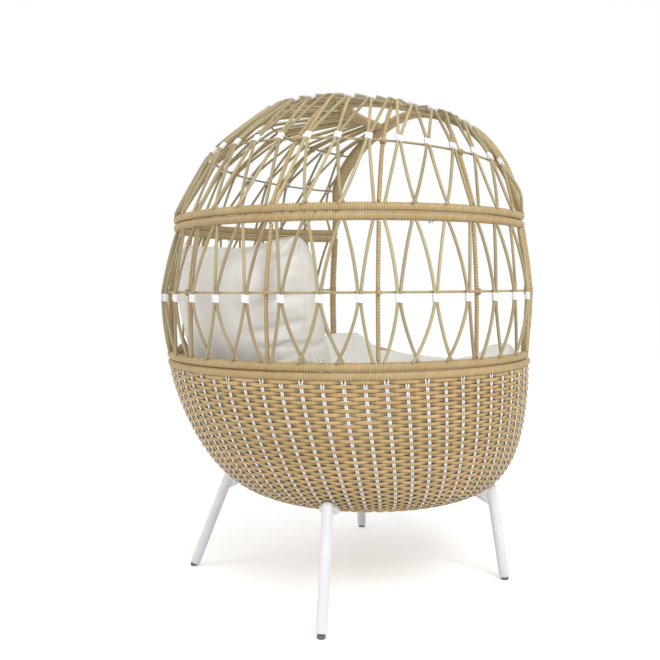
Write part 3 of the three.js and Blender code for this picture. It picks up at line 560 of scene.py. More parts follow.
def canvas_cloth():
    """Off-white plain weave: crossed threads, slubs and a soft mottle."""
    n = material_nodes("canvas", Sheen_Weight=0.25, Sheen_Roughness=0.5)
    where = n.coordinates()
    wave = {"Vector": where, "Scale": 260.0, "Distortion": 1.2, "Detail": 1.0}
    threads = [
        n.add("ShaderNodeTexWave", wave, wave_type="BANDS", bands_direction=axis)["Fac"]
        for axis in "XZ"
    ]
    slubs = n.noise(n.scaled(where, (1, 1, 0.25)), 420.0, 2.0, 0.6)
    mottle = n.noise(where, 16.0, 3.0)
    colour = n.ramp(mottle, (0.25, srgb(228, 225, 218)), (0.75, srgb(238, 236, 231)))
    colour = n.times(colour, n.ramp(slubs, (0.3, (0.955, 0.955, 0.95, 1)), (0.7, WHITE)))
    weave = n.maths("MULTIPLY", n.maths("ADD", *threads), 0.5)
    n.bump(n.maths("ADD", weave, slubs), 0.35, 0.0004)
    return n.finish(colour, slubs, 0.86, 0.96)


# Each look is a material and a slot name.
WRAPPED = (wicker("wrapped_wicker", WRAP_TONES, 0.62, 0.5), "wrapped_wicker")
WOVEN = (wicker("woven_wicker", WEAVE_TONES, 0.70, 0.5), "woven_wicker")
ROD_WICKER = (wicker("rod_wicker", ROD_TONES, 0.8, 0.45, 0.25), "rod_wicker")
WHITE_STRIP = (white_strip(), "white_paint")
LEG_PAINT = (powder_coat(), "white_paint")
GLIDE_PLASTIC = (dark_plastic(), "grey_plastic")
bolt_zinc = zinc()
cover = canvas_cloth()

# ---- Camera ----

CAMERA_PLACE = to_metres(vec(-1907, 1476, 854.7))
PITCH, ROLL = 0.0548, 0.0051
plan = unit(vec(0.8013, -0.5982, 0))
ahead = plan * math.cos(PITCH) - UP * math.sin(PITCH)
right = unit(np.cross(ahead, UP))
above = np.cross(right, ahead)
camera_x = right * math.cos(ROLL) - above * math.sin(ROLL)
camera_y = above * math.cos(ROLL) + right * math.sin(ROLL)
camera = new_object("camera", bpy.data.cameras.new("camera"))
camera.data.sensor_width = 36
camera.data.lens = 44.905
axes = np.stack([camera_x, camera_y, -ahead, CAMERA_PLACE], 1)
camera.matrix_world = Matrix([*axes.tolist(), [0, 0, 0, 1]])
bpy.context.scene.camera = camera

# ---- Rings, posts, ribs, arch and crown loop ----

RING_WRAP = 6.6  # widths of a turn of strip
POST_WRAP = 7.4
TIE = {"wide": 24.5, "thick": 24.5, "height": 7, "turns": 1, "power": 1.0}
LASH = {"wide": 15, "thick": 21, "height": 4.6, "turns": 1, "power": 0.8}
LASH_SHIFT = 2.4
from_waist = outward(WAIST["forward"])


def wound_piece(node, *how, **more):
    """A wound tube in place of a CAD node."""
    build = Build()
    wound_tube(build, *how, **more)
    add_piece(node + "_wound", build, WRAPPED, [node])


def cage_ring(name, part, z):
    extra = math.degrees(RING / part["radius"])
    angles = np.linspace(OPENING - extra, 360 - OPENING + extra, 400)
    path = Path(level(part, angles, z))
    wound_piece(name, path, RING, RING_WRAP, 14, outward(part["forward"]), round_ends=6.0)


cage_ring("dome_ring", UPPER, DOME_RING_Z)
cage_ring("middle_upper_ring", UPPER, UPPER_RING_Z)
cage_ring("middle_lower_ring", LOWER, LOWER_RING_Z)


def basket_radius(t):
    return BASKET_RADIUS * np.maximum(0, 1 - t**BASKET_CURVE) ** (1 / 6)


def basket_forward(t):
    return 14.8 + 76 * np.maximum(0, t) ** 1.22


def depth_share(z):
    return (BASKET_TOP - z) / BASKET_DEPTH


def basket_point(angle, t):
    return around(angle, basket_radius(t), BASKET_TOP - BASKET_DEPTH * t, basket_forward(t))


def rim_height(angle):
    turn = np.abs((np.asarray(angle, float) + 540) % 360 - 180)
    wave = 0.5 + 0.5 * np.cos(np.pi * np.minimum(turn, RIM_DIP_END) / RIM_DIP_END)
    return RIM_Z - RIM_DIP * wave


rim_angles = np.linspace(0, 360, 721)
rim_z = rim_height(rim_angles)
rim_share = np.maximum(0, depth_share(rim_z))
rim_radius = basket_radius(rim_share) - BASKET_OUTSET
rim_path = Path(around(rim_angles, rim_radius, rim_z, basket_forward(rim_share)), closed=True)
wound_piece("basket_rim", rim_path, RING, RING_WRAP, 14, outward(14))


def middle_path(angle, inset, ends):
    points = [
        level(LOWER, angle, LOWER_RING_Z + ends),
        level(WAIST, angle, WAIST["z"], -inset),
        level(UPPER, angle, UPPER_RING_Z - ends),
    ]
    return Path(catmull(points))


for side, word in SIDES:
    build = Build()
    path = middle_path(side * OPENING, 0, 2)
    wound_tube(build, path, RING, POST_WRAP, 14, from_waist)
    for turn in (-1, 0, 1):
        tie = level(WAIST, side * OPENING, WAIST["z"] + turn * TIE["height"])
        band(build, tie, UP, from_waist(tie), **TIE)
    add_piece(f"front_post_{word}_wound", build, WRAPPED, [f"front_post_{word}"])

for angle, word in zip(RIBS, RIB_NAMES, strict=True):
    path = middle_path(angle, RIB_IN, 8)
    wound_piece(f"middle_rib_{word}", path, RIB, POST_WRAP, 10, outward(8))

loop_points = [vec(-x, ARCH_Y + max(back, LOOP_FRONT), z) for x, back, z in LOOP_HALF]
loop_points += [vec(x, ARCH_Y + max(back, LOOP_FRONT), z) for x, back, z in LOOP_HALF[-2::-1]]
loop_dense = catmull(loop_points, 50)


def loop_meets(angle):
    """Point of the crown loop's middle line where a rod or rib at this angle ends."""
    foot = level(UPPER, angle, 0)
    along = unit((foot - APEX)[:2])
    flat = loop_dense[:, :2] - APEX[:2]
    off = np.abs(along[0] * flat[:, 1] - along[1] * flat[:, 0])
    off[flat @ along <= 0] = np.inf
    return loop_dense[np.argmin(off)]


def arch_half(side):
    rows = (CLIP_ROW, ARCH_SHOULDER, ARCH_MID)
    foot = level(UPPER, side * OPENING, DOME_RING_Z + 0.4 * RING)
    return [foot, *[dome_point(side * ARCH_ANGLE, row) for row in rows]]


def smoothstep(x, low, high):
    t = np.clip((x - low) / (high - low), 0, 1)
    return t * t * (3 - 2 * t)


def arch_size(centre):
    """Round at the feet, and above a flat band that reaches further back from the same front."""
    flat = smoothstep(centre[..., 2], ARCH_BAND["from"], ARCH_BAND["to"])
    front = ARCH_BAND["half"]
    half = front + (ARCH_BAND["back"] - front) / 2 * flat
    return front + 0 * flat, half, front - half


def upward_from_axis(p):
    """Direction away from a point deep under the arch's apex."""
    return unit(p - vec(0, ARCH_Y, 900))


arch_path = Path(catmull([*arch_half(-1), APEX, *arch_half(1)[::-1]], 40))
wound_piece("front_arch", arch_path, RING, RING_WRAP, 20, upward_from_axis, size=arch_size)


def loop_size(_):
    return (*LOOP_BAND, 0.0)


wound_piece("crown_loop", Path(loop_dense), RING, RING_WRAP, 20, UP, size=loop_size)

for angle, word in zip(RIBS, RIB_NAMES, strict=True):
    points = [
        level(UPPER, angle, DOME_RING_Z + 8),
        dome_point(angle, CLIP_ROW, -ROD_OUT - RIB_IN),
        dome_point(angle, CROSS_ROW, -ROD_OUT - RIB_IN),
        loop_meets(angle) - UP,
    ]
    path = Path(catmull(points))
    wound_piece(f"dome_rib_{word}", path, RIB, POST_WRAP, 10, upward_from_axis)

# ---- Hoops and lashings ----


def hoop(name, points):
    build = Build()
    rod(build, Path(catmull(points, 4)), HOOP, UP, step=9)
    add_piece(name + "_rod", build, ROD_WICKER, [name])


def waist_point(angle):
    return level(WAIST, angle, WAIST["z"])


def hoop_angles(start):
    return np.linspace(start, 360 - start, 121)


hoop("waist_hoop", waist_point(hoop_angles(OPENING)))
for name, row in (("dome_lower_hoop", CLIP_ROW), ("dome_upper_hoop", CROSS_ROW)):
    hoop(name, [dome_point(a, row, -ROD_OUT) for a in hoop_angles(DOME_HOOP_START)])


def lashing(build, centre, along, up, face):
    """Crossed turns of strip round a hoop and the rib inside it."""
    for slant in (-1, 1):
        axis = unit(along + slant * up)
        for shift in (-LASH_SHIFT, LASH_SHIFT):
            band(build, centre + axis * shift, axis, face, **LASH)


def lashings(name, point_at, outward_at):
    build = Build()
    for angle in RIBS:
        along = unit(point_at(angle + 1) - point_at(angle - 1))
        face = outward_at(angle)
        middle = point_at(angle) - face * RIB_IN / 2
        lashing(build, middle, along, np.cross(face, along), face)
    add_piece(name, build, WRAPPED)


lashings("waist_lashings", waist_point, lambda angle: from_waist(waist_point(angle)))
for name, row in (("dome_lower_lashings", CLIP_ROW), ("dome_upper_lashings", CROSS_ROW)):
    lashings(
        name,
        lambda a, row=row: dome_point(a, row, -ROD_OUT),
        lambda a, row=row: dome_outward(a, row),
    )

# ---- Lattice: rods and white bindings ----

BESIDE = 0.9 * ROD
RIB_BESIDE = 1.1 * (RIB + ROD) + 2.1
POST_BESIDE = RING + ROD + 1.2
HALF_PITCH = CLIP_PITCH / 2
RIB_SPACE_AT_LOOP = 5.3  # degrees
FOOT_PAST = 9  # two rods that cross on a ring end this far past each other's middle
CROSS_DEPTH = 2.3  # and stand this far to either side of the ring's middle
HALF_BOUND = 12  # a rod runs straight within the binding, this far from its middle
BOUND_BELOW = 7  # rods that meet under the crown are bound this far below that place
# A rod's share of its end's turn, against its share of the way from the clip.
ROD_BOW = [(0.19, 0.10), (0.47, 0.33), (0.76, 0.65)]


def turn_of(distance, radius):
    return math.degrees(distance / radius)


def neighbour_of(bay, i, way):
    """What stands beside one of the two rods of a bay's clip."""
    if i != (0 if way < 0 else CLIPS_PER_BAY - 1):
        return "rod"
    return "post" if bay == 0 and way < 0 else "rib"


def meeting(neighbour, radius, past):
    """Degrees from the clip to where its rod meets the next one, or stays beside a rib or post."""
    if neighbour == "rib":
        return HALF_PITCH - turn_of(RIB_BESIDE, radius)
    free = HALF_PITCH + turn_of(past, radius)
    if neighbour == "rod":
        return free
    return min(free, BAY_STARTS[0] - OPENING - turn_of(POST_BESIDE, radius))


def middle_rod(side, start, way, neighbour):
    """One rod of the middle section, from ring to ring past its clip."""
    clip_turn = turn_of(BESIDE, WAIST["radius"])

    def run(part, clip_z, end_z, past, end_out, swell):
        """Points from beside the clip to the rod's end on a ring."""
        end_turn = meeting(neighbour, part["radius"], past)
        for share, bowed in [(0, 0), *ROD_BOW, (1, 1)]:
            angle = side * (start + way * (clip_turn + (end_turn - clip_turn) * bowed))
            z = clip_z + (end_z - clip_z) * share
            bulge = swell * share * (1 - share)
            near = level(WAIST, angle, z, ROD_OUT + bulge)
            yield near + (level(part, angle, z, end_out + bulge) - near) * share

    depth = CROSS_DEPTH * way if neighbour == "rod" else 0.0
    foot = run(LOWER, CLIP_Z - HALF_BOUND, LOWER_RING_Z + 7, FOOT_PAST, 5 + depth, 12)
    top = run(UPPER, CLIP_Z + HALF_BOUND, UPPER_RING_Z - 4, -BESIDE, 0.0, 16)
    return Path(catmull([*list(foot)[::-1], *top]))


def dome_rod(side, start, way, neighbour, end):
    """One rod of the dome, from its ring past its clip to the crown loop or the arch."""
    def foot(turn, z, out):
        return level(UPPER, side * (start + way * turn), DOME_RING_Z + z, out)

    radius = UPPER["radius"]
    depth = CROSS_DEPTH * way if neighbour == "rod" else 0.0
    clip_turn = turn_of(BESIDE, radius * (1 - CLIP_ROW["share"]))
    cross_turn = meeting(neighbour, radius * (1 - CROSS_ROW["share"]), -BESIDE)
    foot_turn = meeting(neighbour, radius, FOOT_PAST)
    points = [foot(foot_turn, 5.5, 6.0 + depth)]
    if neighbour == "rod":
        points.append(foot(HALF_PITCH + 0.1 * turn_of(FOOT_PAST, radius), 15, 4.0 + depth))
    if neighbour == "post":
        points.append(foot(0.72 * foot_turn, 62, 3.0))
        cross_turn = BAY_STARTS[0] - ARCH_ANGLE - turn_of(10, CROSS_RADIUS)
    for row, turn in ((CLIP_ROW, clip_turn), (CROSS_ROW, cross_turn)):
        angle = side * (start + way * turn)
        slope, middle = dome_slope(angle, row), dome_point(angle, row)
        points += [middle - 10 * slope, middle + 10 * slope]
    if neighbour != "post":
        points.append(loop_meets(side * end) + 6 * UP)
    return Path(catmull(points))


def bound_at(place, paths):
    """Middle and direction of the strip that binds two rods, just below where they meet."""
    middles, ways = [], []
    for path in paths:
        s = np.linspace(0, path.length, 800)
        near = s[[np.argmin(np.linalg.norm(path.at(s) - place, axis=1))]] - BOUND_BELOW
        middles.append(path.at(near)[0])
        ways.append(path.tangent(near)[0])
    return sum(middles) / 2, unit(sum(ways))


def dome_slope(angle, row):
    """Direction up the dome at the row of clips or the row where the rods cross."""
    if row is CLIP_ROW:
        return unit(dome_point(angle, CROSS_ROW) - level(UPPER, angle, DOME_RING_Z + RING))
    return unit(loop_meets(angle) - dome_point(angle, CLIP_ROW))


def add_lattice(name, rods, clips):
    add_piece(name + "_rods", rods, ROD_WICKER, [name])
    add_piece(name + "_bindings", clips, WHITE_STRIP)


def middle_lattice(side, word, bay, start):
    rods, clips = Build(), Build()
    for i in range(CLIPS_PER_BAY):
        clip = start + i * CLIP_PITCH
        for way in (-1, 1):
            path = middle_rod(side, clip, way, neighbour_of(bay, i, way))
            rod(rods, path, ROD, from_waist)
        place = level(WAIST, side * clip, CLIP_Z, ROD_OUT)
        band(clips, place, UP, from_waist(place), **CLIP)
    add_lattice(f"middle_lattice_{word}_{bay + 1}", rods, clips)


def dome_lattice(side, word, bay, start):
    rods, clips = Build(), Build()
    first = start - HALF_PITCH + (HALF_PITCH / 2 if bay == 0 else RIB_SPACE_AT_LOOP)
    last = start + CLIP_PITCH * (CLIPS_PER_BAY - 0.5) - RIB_SPACE_AT_LOOP
    ends = np.linspace(first, last, 2 * CLIPS_PER_BAY)
    before = None
    for i in range(CLIPS_PER_BAY):
        clip = start + i * CLIP_PITCH
        pair = []
        for k, way in enumerate((-1, 1)):
            path = dome_rod(side, clip, way, neighbour_of(bay, i, way), ends[2 * i + k])
            rod(rods, path, ROD, upward_from_axis)
            pair.append(path)
        angle = side * clip
        axis = dome_slope(angle, CLIP_ROW)
        face = dome_outward(angle, CLIP_ROW)
        band(clips, dome_point(angle, CLIP_ROW), axis, face, **CLIP)
        if before:
            angle = side * (clip - HALF_PITCH)
            place, axis = bound_at(dome_point(angle, CROSS_ROW), (before, pair[0]))
            band(clips, place, axis, dome_outward(angle, CROSS_ROW), **CROSS_CLIP)
        before = pair[1]
    add_lattice(f"dome_lattice_{word}_{bay + 1}", rods, clips)


for side, word in SIDES:
    for bay, start in enumerate(BAY_STARTS):
        middle_lattice(side, word, bay, start)
        dome_lattice(side, word, bay, start)

# ---- Basket weave ----

STAKES = 64
ROW_PITCH = 10.3
WEAVE_MIDDLE = -2.4  # the weave's middle lies this far inside the basket's outside
SWING = 2.4  # a row's middle swings this far in front of and behind the stakes
PER_STAKE = 4
WEAVE_END = 34  # the lowest row ends this far from the middle of the bottom
STAKE_ROOM = 26  # a pair of stakes is at its widest where it has this much room
STAKE_ENDS = (235, 120, 55)  # nearer the axis than each of these, every other stake has ended
LAST_STAKE_END = 20


def bowl_table(angles, steps):
    """Points of the basket's outside: one column for each angle, evenly spaced from rim to middle."""
    slope = (rim_height(angles + 1) - rim_height(angles - 1)) / math.radians(2) / BASKET_RADIUS
    top = depth_share(rim_height(angles) - (RING - 1.0) * np.hypot(1, slope))
    start = np.arcsin(np.clip(top, 0, 1) ** (BASKET_CURVE / 2))
    dense = np.linspace(0, 1, 500)[:, None]
    t = np.sin(start + (np.pi / 2 - start) * dense) ** (2 / BASKET_CURVE)
    points = basket_point(np.broadcast_to(angles, t.shape), t)
    paths = [Path(points[:, k]) for k in range(len(angles))]
    table = np.stack([path.at(steps * path.length) for path in paths], 1)
    return table, max(path.length for path in paths)


columns = STAKES * PER_STAKE
weave_angles = np.arange(columns) * 360 / columns
_, back_length = bowl_table(weave_angles, np.array([0.0, 1.0]))
ROWS = int((back_length - WEAVE_END) / ROW_PITCH)
row_share = ROW_PITCH / back_length
levels = np.linspace(0, ROWS * row_share, 4 * ROWS + 1)
surface, _ = bowl_table(weave_angles, levels)
around_step = np.roll(surface, -1, axis=1) - np.roll(surface, 1, axis=1)
normals = unit(np.cross(np.gradient(surface, axis=0), around_step))
from_middle = (surface - surface.mean(axis=1, keepdims=True))[..., :2]
row_radius = np.linalg.norm(from_middle, axis=-1).mean(axis=1)
WEAVER = [(-0.5, -0.55), (-0.23, 0.55), (0, 0.8), (0.23, 0.55), (0.5, -0.55), (0, -0.9)]
STAKE = [(-1, 0.1), (-0.6, 1), (0.6, 1), (1, 0.1), (0.6, -1), (-0.6, -1)]


def weave_row(build, row):
    """One strip that goes round in front of every other stake and behind the rest."""
    lines = surface[4 * row : 4 * row + 5]
    radius = row_radius[4 * row + 2]
    stakes_here = STAKES >> sum(radius <= end for end in STAKE_ENDS)
    phase = np.cos(np.radians(weave_angles) * stakes_here / 2 + np.pi * row)
    side = squarer(phase, 0.5)  # from behind a stake, -1, to in front of it, 1
    wide = 1.14 + 0.03 * rng.random() - np.where(phase > 0, 0.34, 0.16) * phase**2
    ring = []
    for share, thick in WEAVER:
        p = lines[2] + (lines[4] - lines[0]) * (share * wide)[:, None]
        ring.append(p + normals[4 * row + 2] * (WEAVE_MIDDLE + SWING * side + thick)[:, None])
    index = np.arange(columns * len(WEAVER)).reshape(columns, -1)
    turned = np.roll(index, -1, axis=1)
    quads = np.stack([index, turned, np.roll(turned, -1, axis=0), np.roll(index, -1, axis=0)], -1)
    run = np.radians(weave_angles) * radius / 1000
    knots = rng.random(columns // 24 + 2)
    tone = np.interp(np.arange(columns), np.linspace(0, columns - 1, len(knots)), knots)
    tone = 0.6 * tone + 0.4 * rng.random()
    across = 0.5 + np.array([share for share, _ in WEAVER])
    # rise is low where the weaver passes behind a stake and at the strip's edges: the material paints
    # shade beside the stakes and between rows there.
    rise = 0.72 + 0.72 * side[:, None] - 0.25 * (np.abs(across - 0.5) > 0.4)
    strip = strip_rows(run[:, None] + row, across, tone[:, None])
    build.add(np.stack(ring, 1).reshape(-1, 3), quads, [], strip, np.clip(rise, 0, 1).ravel())


weave = Build()
for row in range(ROWS):
    weave_row(weave, row)
boss = [(0.1, 0.5), (6, 0.3), (11, -0.6), (12, 0.3), (17, -0.5), (18, 0.4), (24, -0.4), (25, 0.4)]
boss += [(32, -0.2), (37, 1.2), (38, 3.5), (30, 7.5), (0.1, 8)]
lathe(weave, basket_point(0, 1.0) + vec(0, 0, 0.2), UP, boss, 40)
add_piece("basket_weave", weave, WOVEN, ["basket_shell"])


def stake_pair(build, k):
    """Two thin white strips side by side, from the rim to where they end short of the middle."""
    ends = [end for every, end in zip((2, 4, 8), STAKE_ENDS, strict=True) if k % every]
    keep = row_radius > (ends[0] if ends else LAST_STAKE_END)
    keep[:3] = True
    last = int(np.nonzero(keep)[0].max())
    rows = np.unique([*range(0, 12, 2), *range(12, last, 6), last])
    column = k * PER_STAKE
    line, out = surface[rows, column], normals[rows, column]
    beside = unit(surface[rows, (column + 1) % columns] - surface[rows, column - 1])
    room = np.minimum(1, row_radius[rows] * 2 * np.pi / STAKES / STAKE_ROOM)
    room = np.maximum(np.where(row_radius[rows] < STAKE_ENDS[0], 1.0, room), 0.6)
    spread = (2.25 + 3.0 * np.exp(-levels[rows] / row_share / 0.8)) * room
    for half in (-1, 1):
        centre = line + beside * (half * spread)[:, None] + out * (WEAVE_MIDDLE + 0.35)
        ring = [centre + beside * (x * 2.0 * room)[:, None] + out * (y * 0.9) for x, y in STAKE]
        quads, _ = tube_faces(len(rows), len(STAKE))
        fan = np.array([(0, i + 1, i) for i in range(1, len(STAKE) - 1)])
        tris = [*fan, *(fan[:, [0, 2, 1]] + (len(rows) - 1) * len(STAKE))]
        run = levels[rows][:, None] * back_length / 1000
        strip = strip_rows(run, [x for x, _ in STAKE], rng.random())
        points = np.stack(ring, 1).reshape(-1, 3)
        build.add(points, quads, tris, strip, np.full(len(points), 0.9))


stakes = Build()
for k in range(STAKES):
    stake_pair(stakes, k)
add_piece("basket_stakes", stakes, WHITE_STRIP)

# ---- Legs ----


def basket_gap(p):
    """How far out a point lies from the basket's outside, on its own level."""
    t = np.clip(depth_share(p[2]), 0, 0.9999)
    return math.hypot(p[0], p[1] + basket_forward(t)) - basket_radius(t)


def basket_normal(p):
    step = 0.5
    return unit([basket_gap(p + step * e) - basket_gap(p - step * e) for e in np.eye(3)])


def last_true(test, low, high):
    """The highest number between low and high for which test still holds."""
    for _ in range(40):
        middle = (low + high) / 2
        if test(middle):
            low = middle
        else:
            high = middle
    return low


def bowl_height(x, y):
    """Height of the basket's outside above a point of the floor plan."""
    t = last_true(lambda t: math.hypot(x, y + basket_forward(t)) < basket_radius(t), 0.0, 1.0)
    return BASKET_TOP - BASKET_DEPTH * t


def extruded(build, outline, thickness, place, across, bevel=1.1):
    """A plate with rounded edges: outline in (direction, height) with the plate's middle at place."""
    flat = np.array(outline, float)
    inner = flat + unit(flat.mean(0) - flat) * bevel
    edge = 0.5 - bevel / thickness * 0.6
    layers = [(inner, -0.5), (flat, -edge), (flat, edge), (inner, 0.5)]
    points = [place(layer) + across * (h * thickness) for layer, h in layers]
    points += [points[0].mean(0), points[-1].mean(0)]
    build.add_plain(np.vstack(points), len(layers), len(flat))


def leg(name, angle, splay):
    foot = around(angle, FOOT_RADIUS, 0)
    away = unit(foot * vec(1, 1, 0))
    run = away * -splay + UP

    def outside(z):
        return basket_gap(foot + run * z) >= 0 or z <= BASKET_TOP - BASKET_DEPTH

    meet = foot + run * last_true(outside, GLIDE_HEIGHT, BASKET_TOP)
    length = np.linalg.norm(meet - foot)
    build = Build()
    tube = [(LEG_TUBE - 4.2, 0), (LEG_TUBE - 1.6, 0.7), (LEG_TUBE - 0.4, 2.4), (LEG_TUBE, 5.5)]
    tube += [(LEG_TUBE, length * k / 6) for k in range(1, 6)]
    tube += [(LEG_TUBE, length - 12), (LEG_TUBE - 0.8, length - 5), (LEG_TUBE - 6, length)]
    start = foot + run * (GLIDE_HEIGHT + 0.3)
    shorter = np.linalg.norm(meet - start) / length
    lathe(build, start, run, [(r, h * shorter) for r, h in tube], 36)

    reach, drop, thickness = 62, 70, 6
    tops = []
    for inward in np.linspace(0, reach, 9):
        p = meet - away * inward
        tops.append((-inward, bowl_height(p[0], p[1]) - meet[2] + 2.5))
    tops[0] = (-35 * splay, min(tops[0][1], 35))
    outline = [(drop * splay, -drop), *tops, (-reach, -drop / 3)]

    def place(flat):
        return meet + away * flat[:, :1] + UP * flat[:, 1:]

    extruded(build, outline, thickness, place, np.cross(UP, away))

    x, y, _ = meet - away * reach / 2
    middle = vec(x, y, bowl_height(x, y))
    saddle = [(24, -2.5), (27, -1.5), (27, 10.2), (25.6, 11.6), (24.2, 12)]
    lathe(build, middle, basket_normal(middle), saddle, 44)
    add_piece(f"leg_{name}_tube", build, LEG_PAINT, [f"leg_{name}"])

    build = Build()
    glide = [(8.6, 0), (10.2, 0.5), (11, 1.8), (11, 6.0), (10.4, 7.4), (9.8, 8), (9.8, 9.5), (9.0, 10)]
    lathe(build, foot, UP, glide, 32)
    add_piece(f"glide_{name}_foot", build, GLIDE_PLASTIC, [f"glide_{name}"])


for side, word in SIDES:
    leg("front_" + word, side * 45, 0.15)
    leg("rear_" + word, side * 135, 0.4)

# ---- Bolts keep their CAD shape ----

for name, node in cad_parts.items():
    if "bolt" in name:
        for item in node.material_slots:
            item.material = bolt_zinc

# ---- Cushions ----


def mesh_values(items, key, width, kind=float):
    values = np.empty(len(items) * width, kind)
    items.foreach_get(key, values)
    return values.reshape(-1, width)


def mesh_points(mesh):
    return mesh_values(mesh.vertices, "co", 3)


def move_points(mesh, points):
    mesh.vertices.foreach_set("co", points.ravel())
    mesh.update()
    return points


def vertex_normals(mesh):
    return mesh_values(mesh.vertices, "normal", 3)


def smoothed(points, edges, rounds):
    """Laplacian smoothing along the mesh's edges."""
    a, b = edges.T
    count = np.bincount(edges.ravel(), minlength=len(points))[:, None]
    for _ in range(rounds):
        total = np.zeros_like(points)
        for c in range(3):
            total[:, c] += np.bincount(a, points[b, c], len(points))
            total[:, c] += np.bincount(b, points[a, c], len(points))
        points = points + 0.5 * (total / np.maximum(count, 1) - points)
    return points


def baked(piece):
    """The piece's mesh, with its modifiers applied to it."""
    graph = bpy.context.evaluated_depsgraph_get()
    mesh = bpy.data.meshes.new_from_object(piece.evaluated_get(graph))
    old = piece.data
    piece.modifiers.clear()
    piece.data = mesh
    bpy.data.meshes.remove(old)
    return mesh


def bell(x):
    return np.exp(-(x**2))


def from_axis(points):
    """Millimetres from the egg's axis, and how far round from the front, for a mesh in metres."""
    p = points * 1000 - vec(0, SHIFT_Y, 0)
    return p, np.hypot(p[:, 0], p[:, 1]), np.degrees(np.arctan2(p[:, 0], -p[:, 1]))


def edge_wrinkles(count, longest, turn, far, inward):
    """Wrinkles that run in from an edge: inward is a point's distance from the edge, and turn and
    far give its direction and distance from the middle."""
    starts = rng.uniform(-math.pi, math.pi, count)
    heights = rng.uniform(-3.2, 1.4, count)
    widths = rng.uniform(5, 11, count)
    reaches = rng.uniform(0.3, 1.0, count) * longest
    slants = rng.uniform(-0.35, 0.35, count)
    out = np.zeros(len(turn))
    for start, height, wide, reach, slant in zip(
        starts, heights, widths, reaches, slants, strict=True
    ):
        gap = (turn - start - slant * inward / 300 + math.pi) % (2 * math.pi) - math.pi
        fade = np.exp(-np.maximum(inward, 0) / reach)
        out += height * fade * bell(gap * far / (wide * (1 + inward / 150)))
    return out


def seam_profile(distance):
    """Nearness, from 0 to 1, to the crest of a seam and to the groove on each side of it."""
    return bell(distance / 3.2), bell((np.abs(distance) - 8.5) / 4)


CLOTH_FRAMES = 20
PILLOW = {"place": vec(0, 313, 706), "lean": math.radians(11), "half": (300, 286)}
# Soft folds on the pillow's back: from, to (in shares of its half size), height and half width.
PILLOW_FOLDS = [
    ((-1.0, 0.50), (-0.30, 0.26), -10, 13),
    ((-1.0, 0.66), (-0.36, 0.46), 4, 17),
    ((-1.0, 0.82), (-0.45, 0.66), -7, 13),
    ((-0.94, 0.25), (-0.40, 0.10), -8, 12),
    ((-1.0, -0.05), (-0.40, -0.24), 4, 15),
    ((-1.0, -0.20), (-0.34, -0.42), -10, 13),
    ((-0.90, 0.98), (-0.62, 0.55), -8, 14),
    ((0.92, 0.85), (0.45, 0.40), -7, 18),
    ((0.98, 0.10), (0.50, 0.00), -5, 15),
    ((-0.65, -0.50), (0.15, -0.72), -6, 20),
]


def pillow_relief(points):
    """How far the pillow's cover stands out: a seam round its edge, wrinkles at it and folds."""
    p = points * 1000 - vec(0, SHIFT_Y, 0) - PILLOW["place"]
    lean, half = PILLOW["lean"], np.array(PILLOW["half"])
    place = np.stack([p[:, 0], p[:, 1] * math.sin(lean) + p[:, 2] * math.cos(lean)], -1) / half
    u, v = place.T
    depth = p[:, 1] * math.cos(lean) - p[:, 2] * math.sin(lean)
    crest, groove = seam_profile(depth)
    out = 2.2 * crest - 1.3 * groove
    out += 1.8 * np.sin(5.1 * u + 2.3 * v + 1) * np.cos(3.7 * v - 1.3 * u)
    inward = (1 - np.maximum(np.abs(u), np.abs(v))) * half[0]
    turn, far = np.arctan2(v, u), np.hypot(u, v) * half[0]
    for face in (-1, 1):
        on_face = 0.5 + 0.5 * np.tanh(face * depth / 12)
        out += on_face * edge_wrinkles(46, 120, turn, far, inward)
    on_back = 0.5 + 0.5 * np.tanh(depth / 12)
    for start, end, height, wide in PILLOW_FOLDS:
        run = (np.array(end) - start) * half
        q = (place - start) * half
        length = np.linalg.norm(run)
        along = q @ run / length**2
        across = (q[:, 0] * run[1] - q[:, 1] * run[0]) / length
        bent = across + 9 * np.sin(3.0 * along + start[0])
        body = smoothstep(along, -0.12, 0.15) * smoothstep(-along, -1.0, -0.45)
        out += on_back * height * body * bell(bent / (wide * (0.8 + 0.7 * along)))
    return out


def seat_lift(points):
    """Millimetres that the seat's rolled edge rises beside the front posts."""
    p, radius, turn = from_axis(points)
    turns = [12, 24, 32, 38, 42, 46, 54, 60, 70]
    lift = np.interp(np.abs(turn), turns, [2, 12, 26, 34, 42, 52, 28, 10, 0])
    return lift * smoothstep(radius, 300, 420) * smoothstep(p[:, 2], 560, 640)


def seat_relief(points):
    """How far the seat's cover stands out: a piped seam below its rolled edge, and wrinkles."""
    p, radius, turn = from_axis(points)
    seam = np.interp(np.abs(turn), [0, 38, 48, 88, 125, 180], [575, 578, 640, 640, 462, 462])
    crest, groove = seam_profile(p[:, 2] - seam)
    out = 2.2 * (crest - 0.6 * groove) * smoothstep(radius, 360, 400)
    inward = np.maximum(0, 450 - radius)
    return out + edge_wrinkles(60, 110, np.radians(turn), radius, inward)


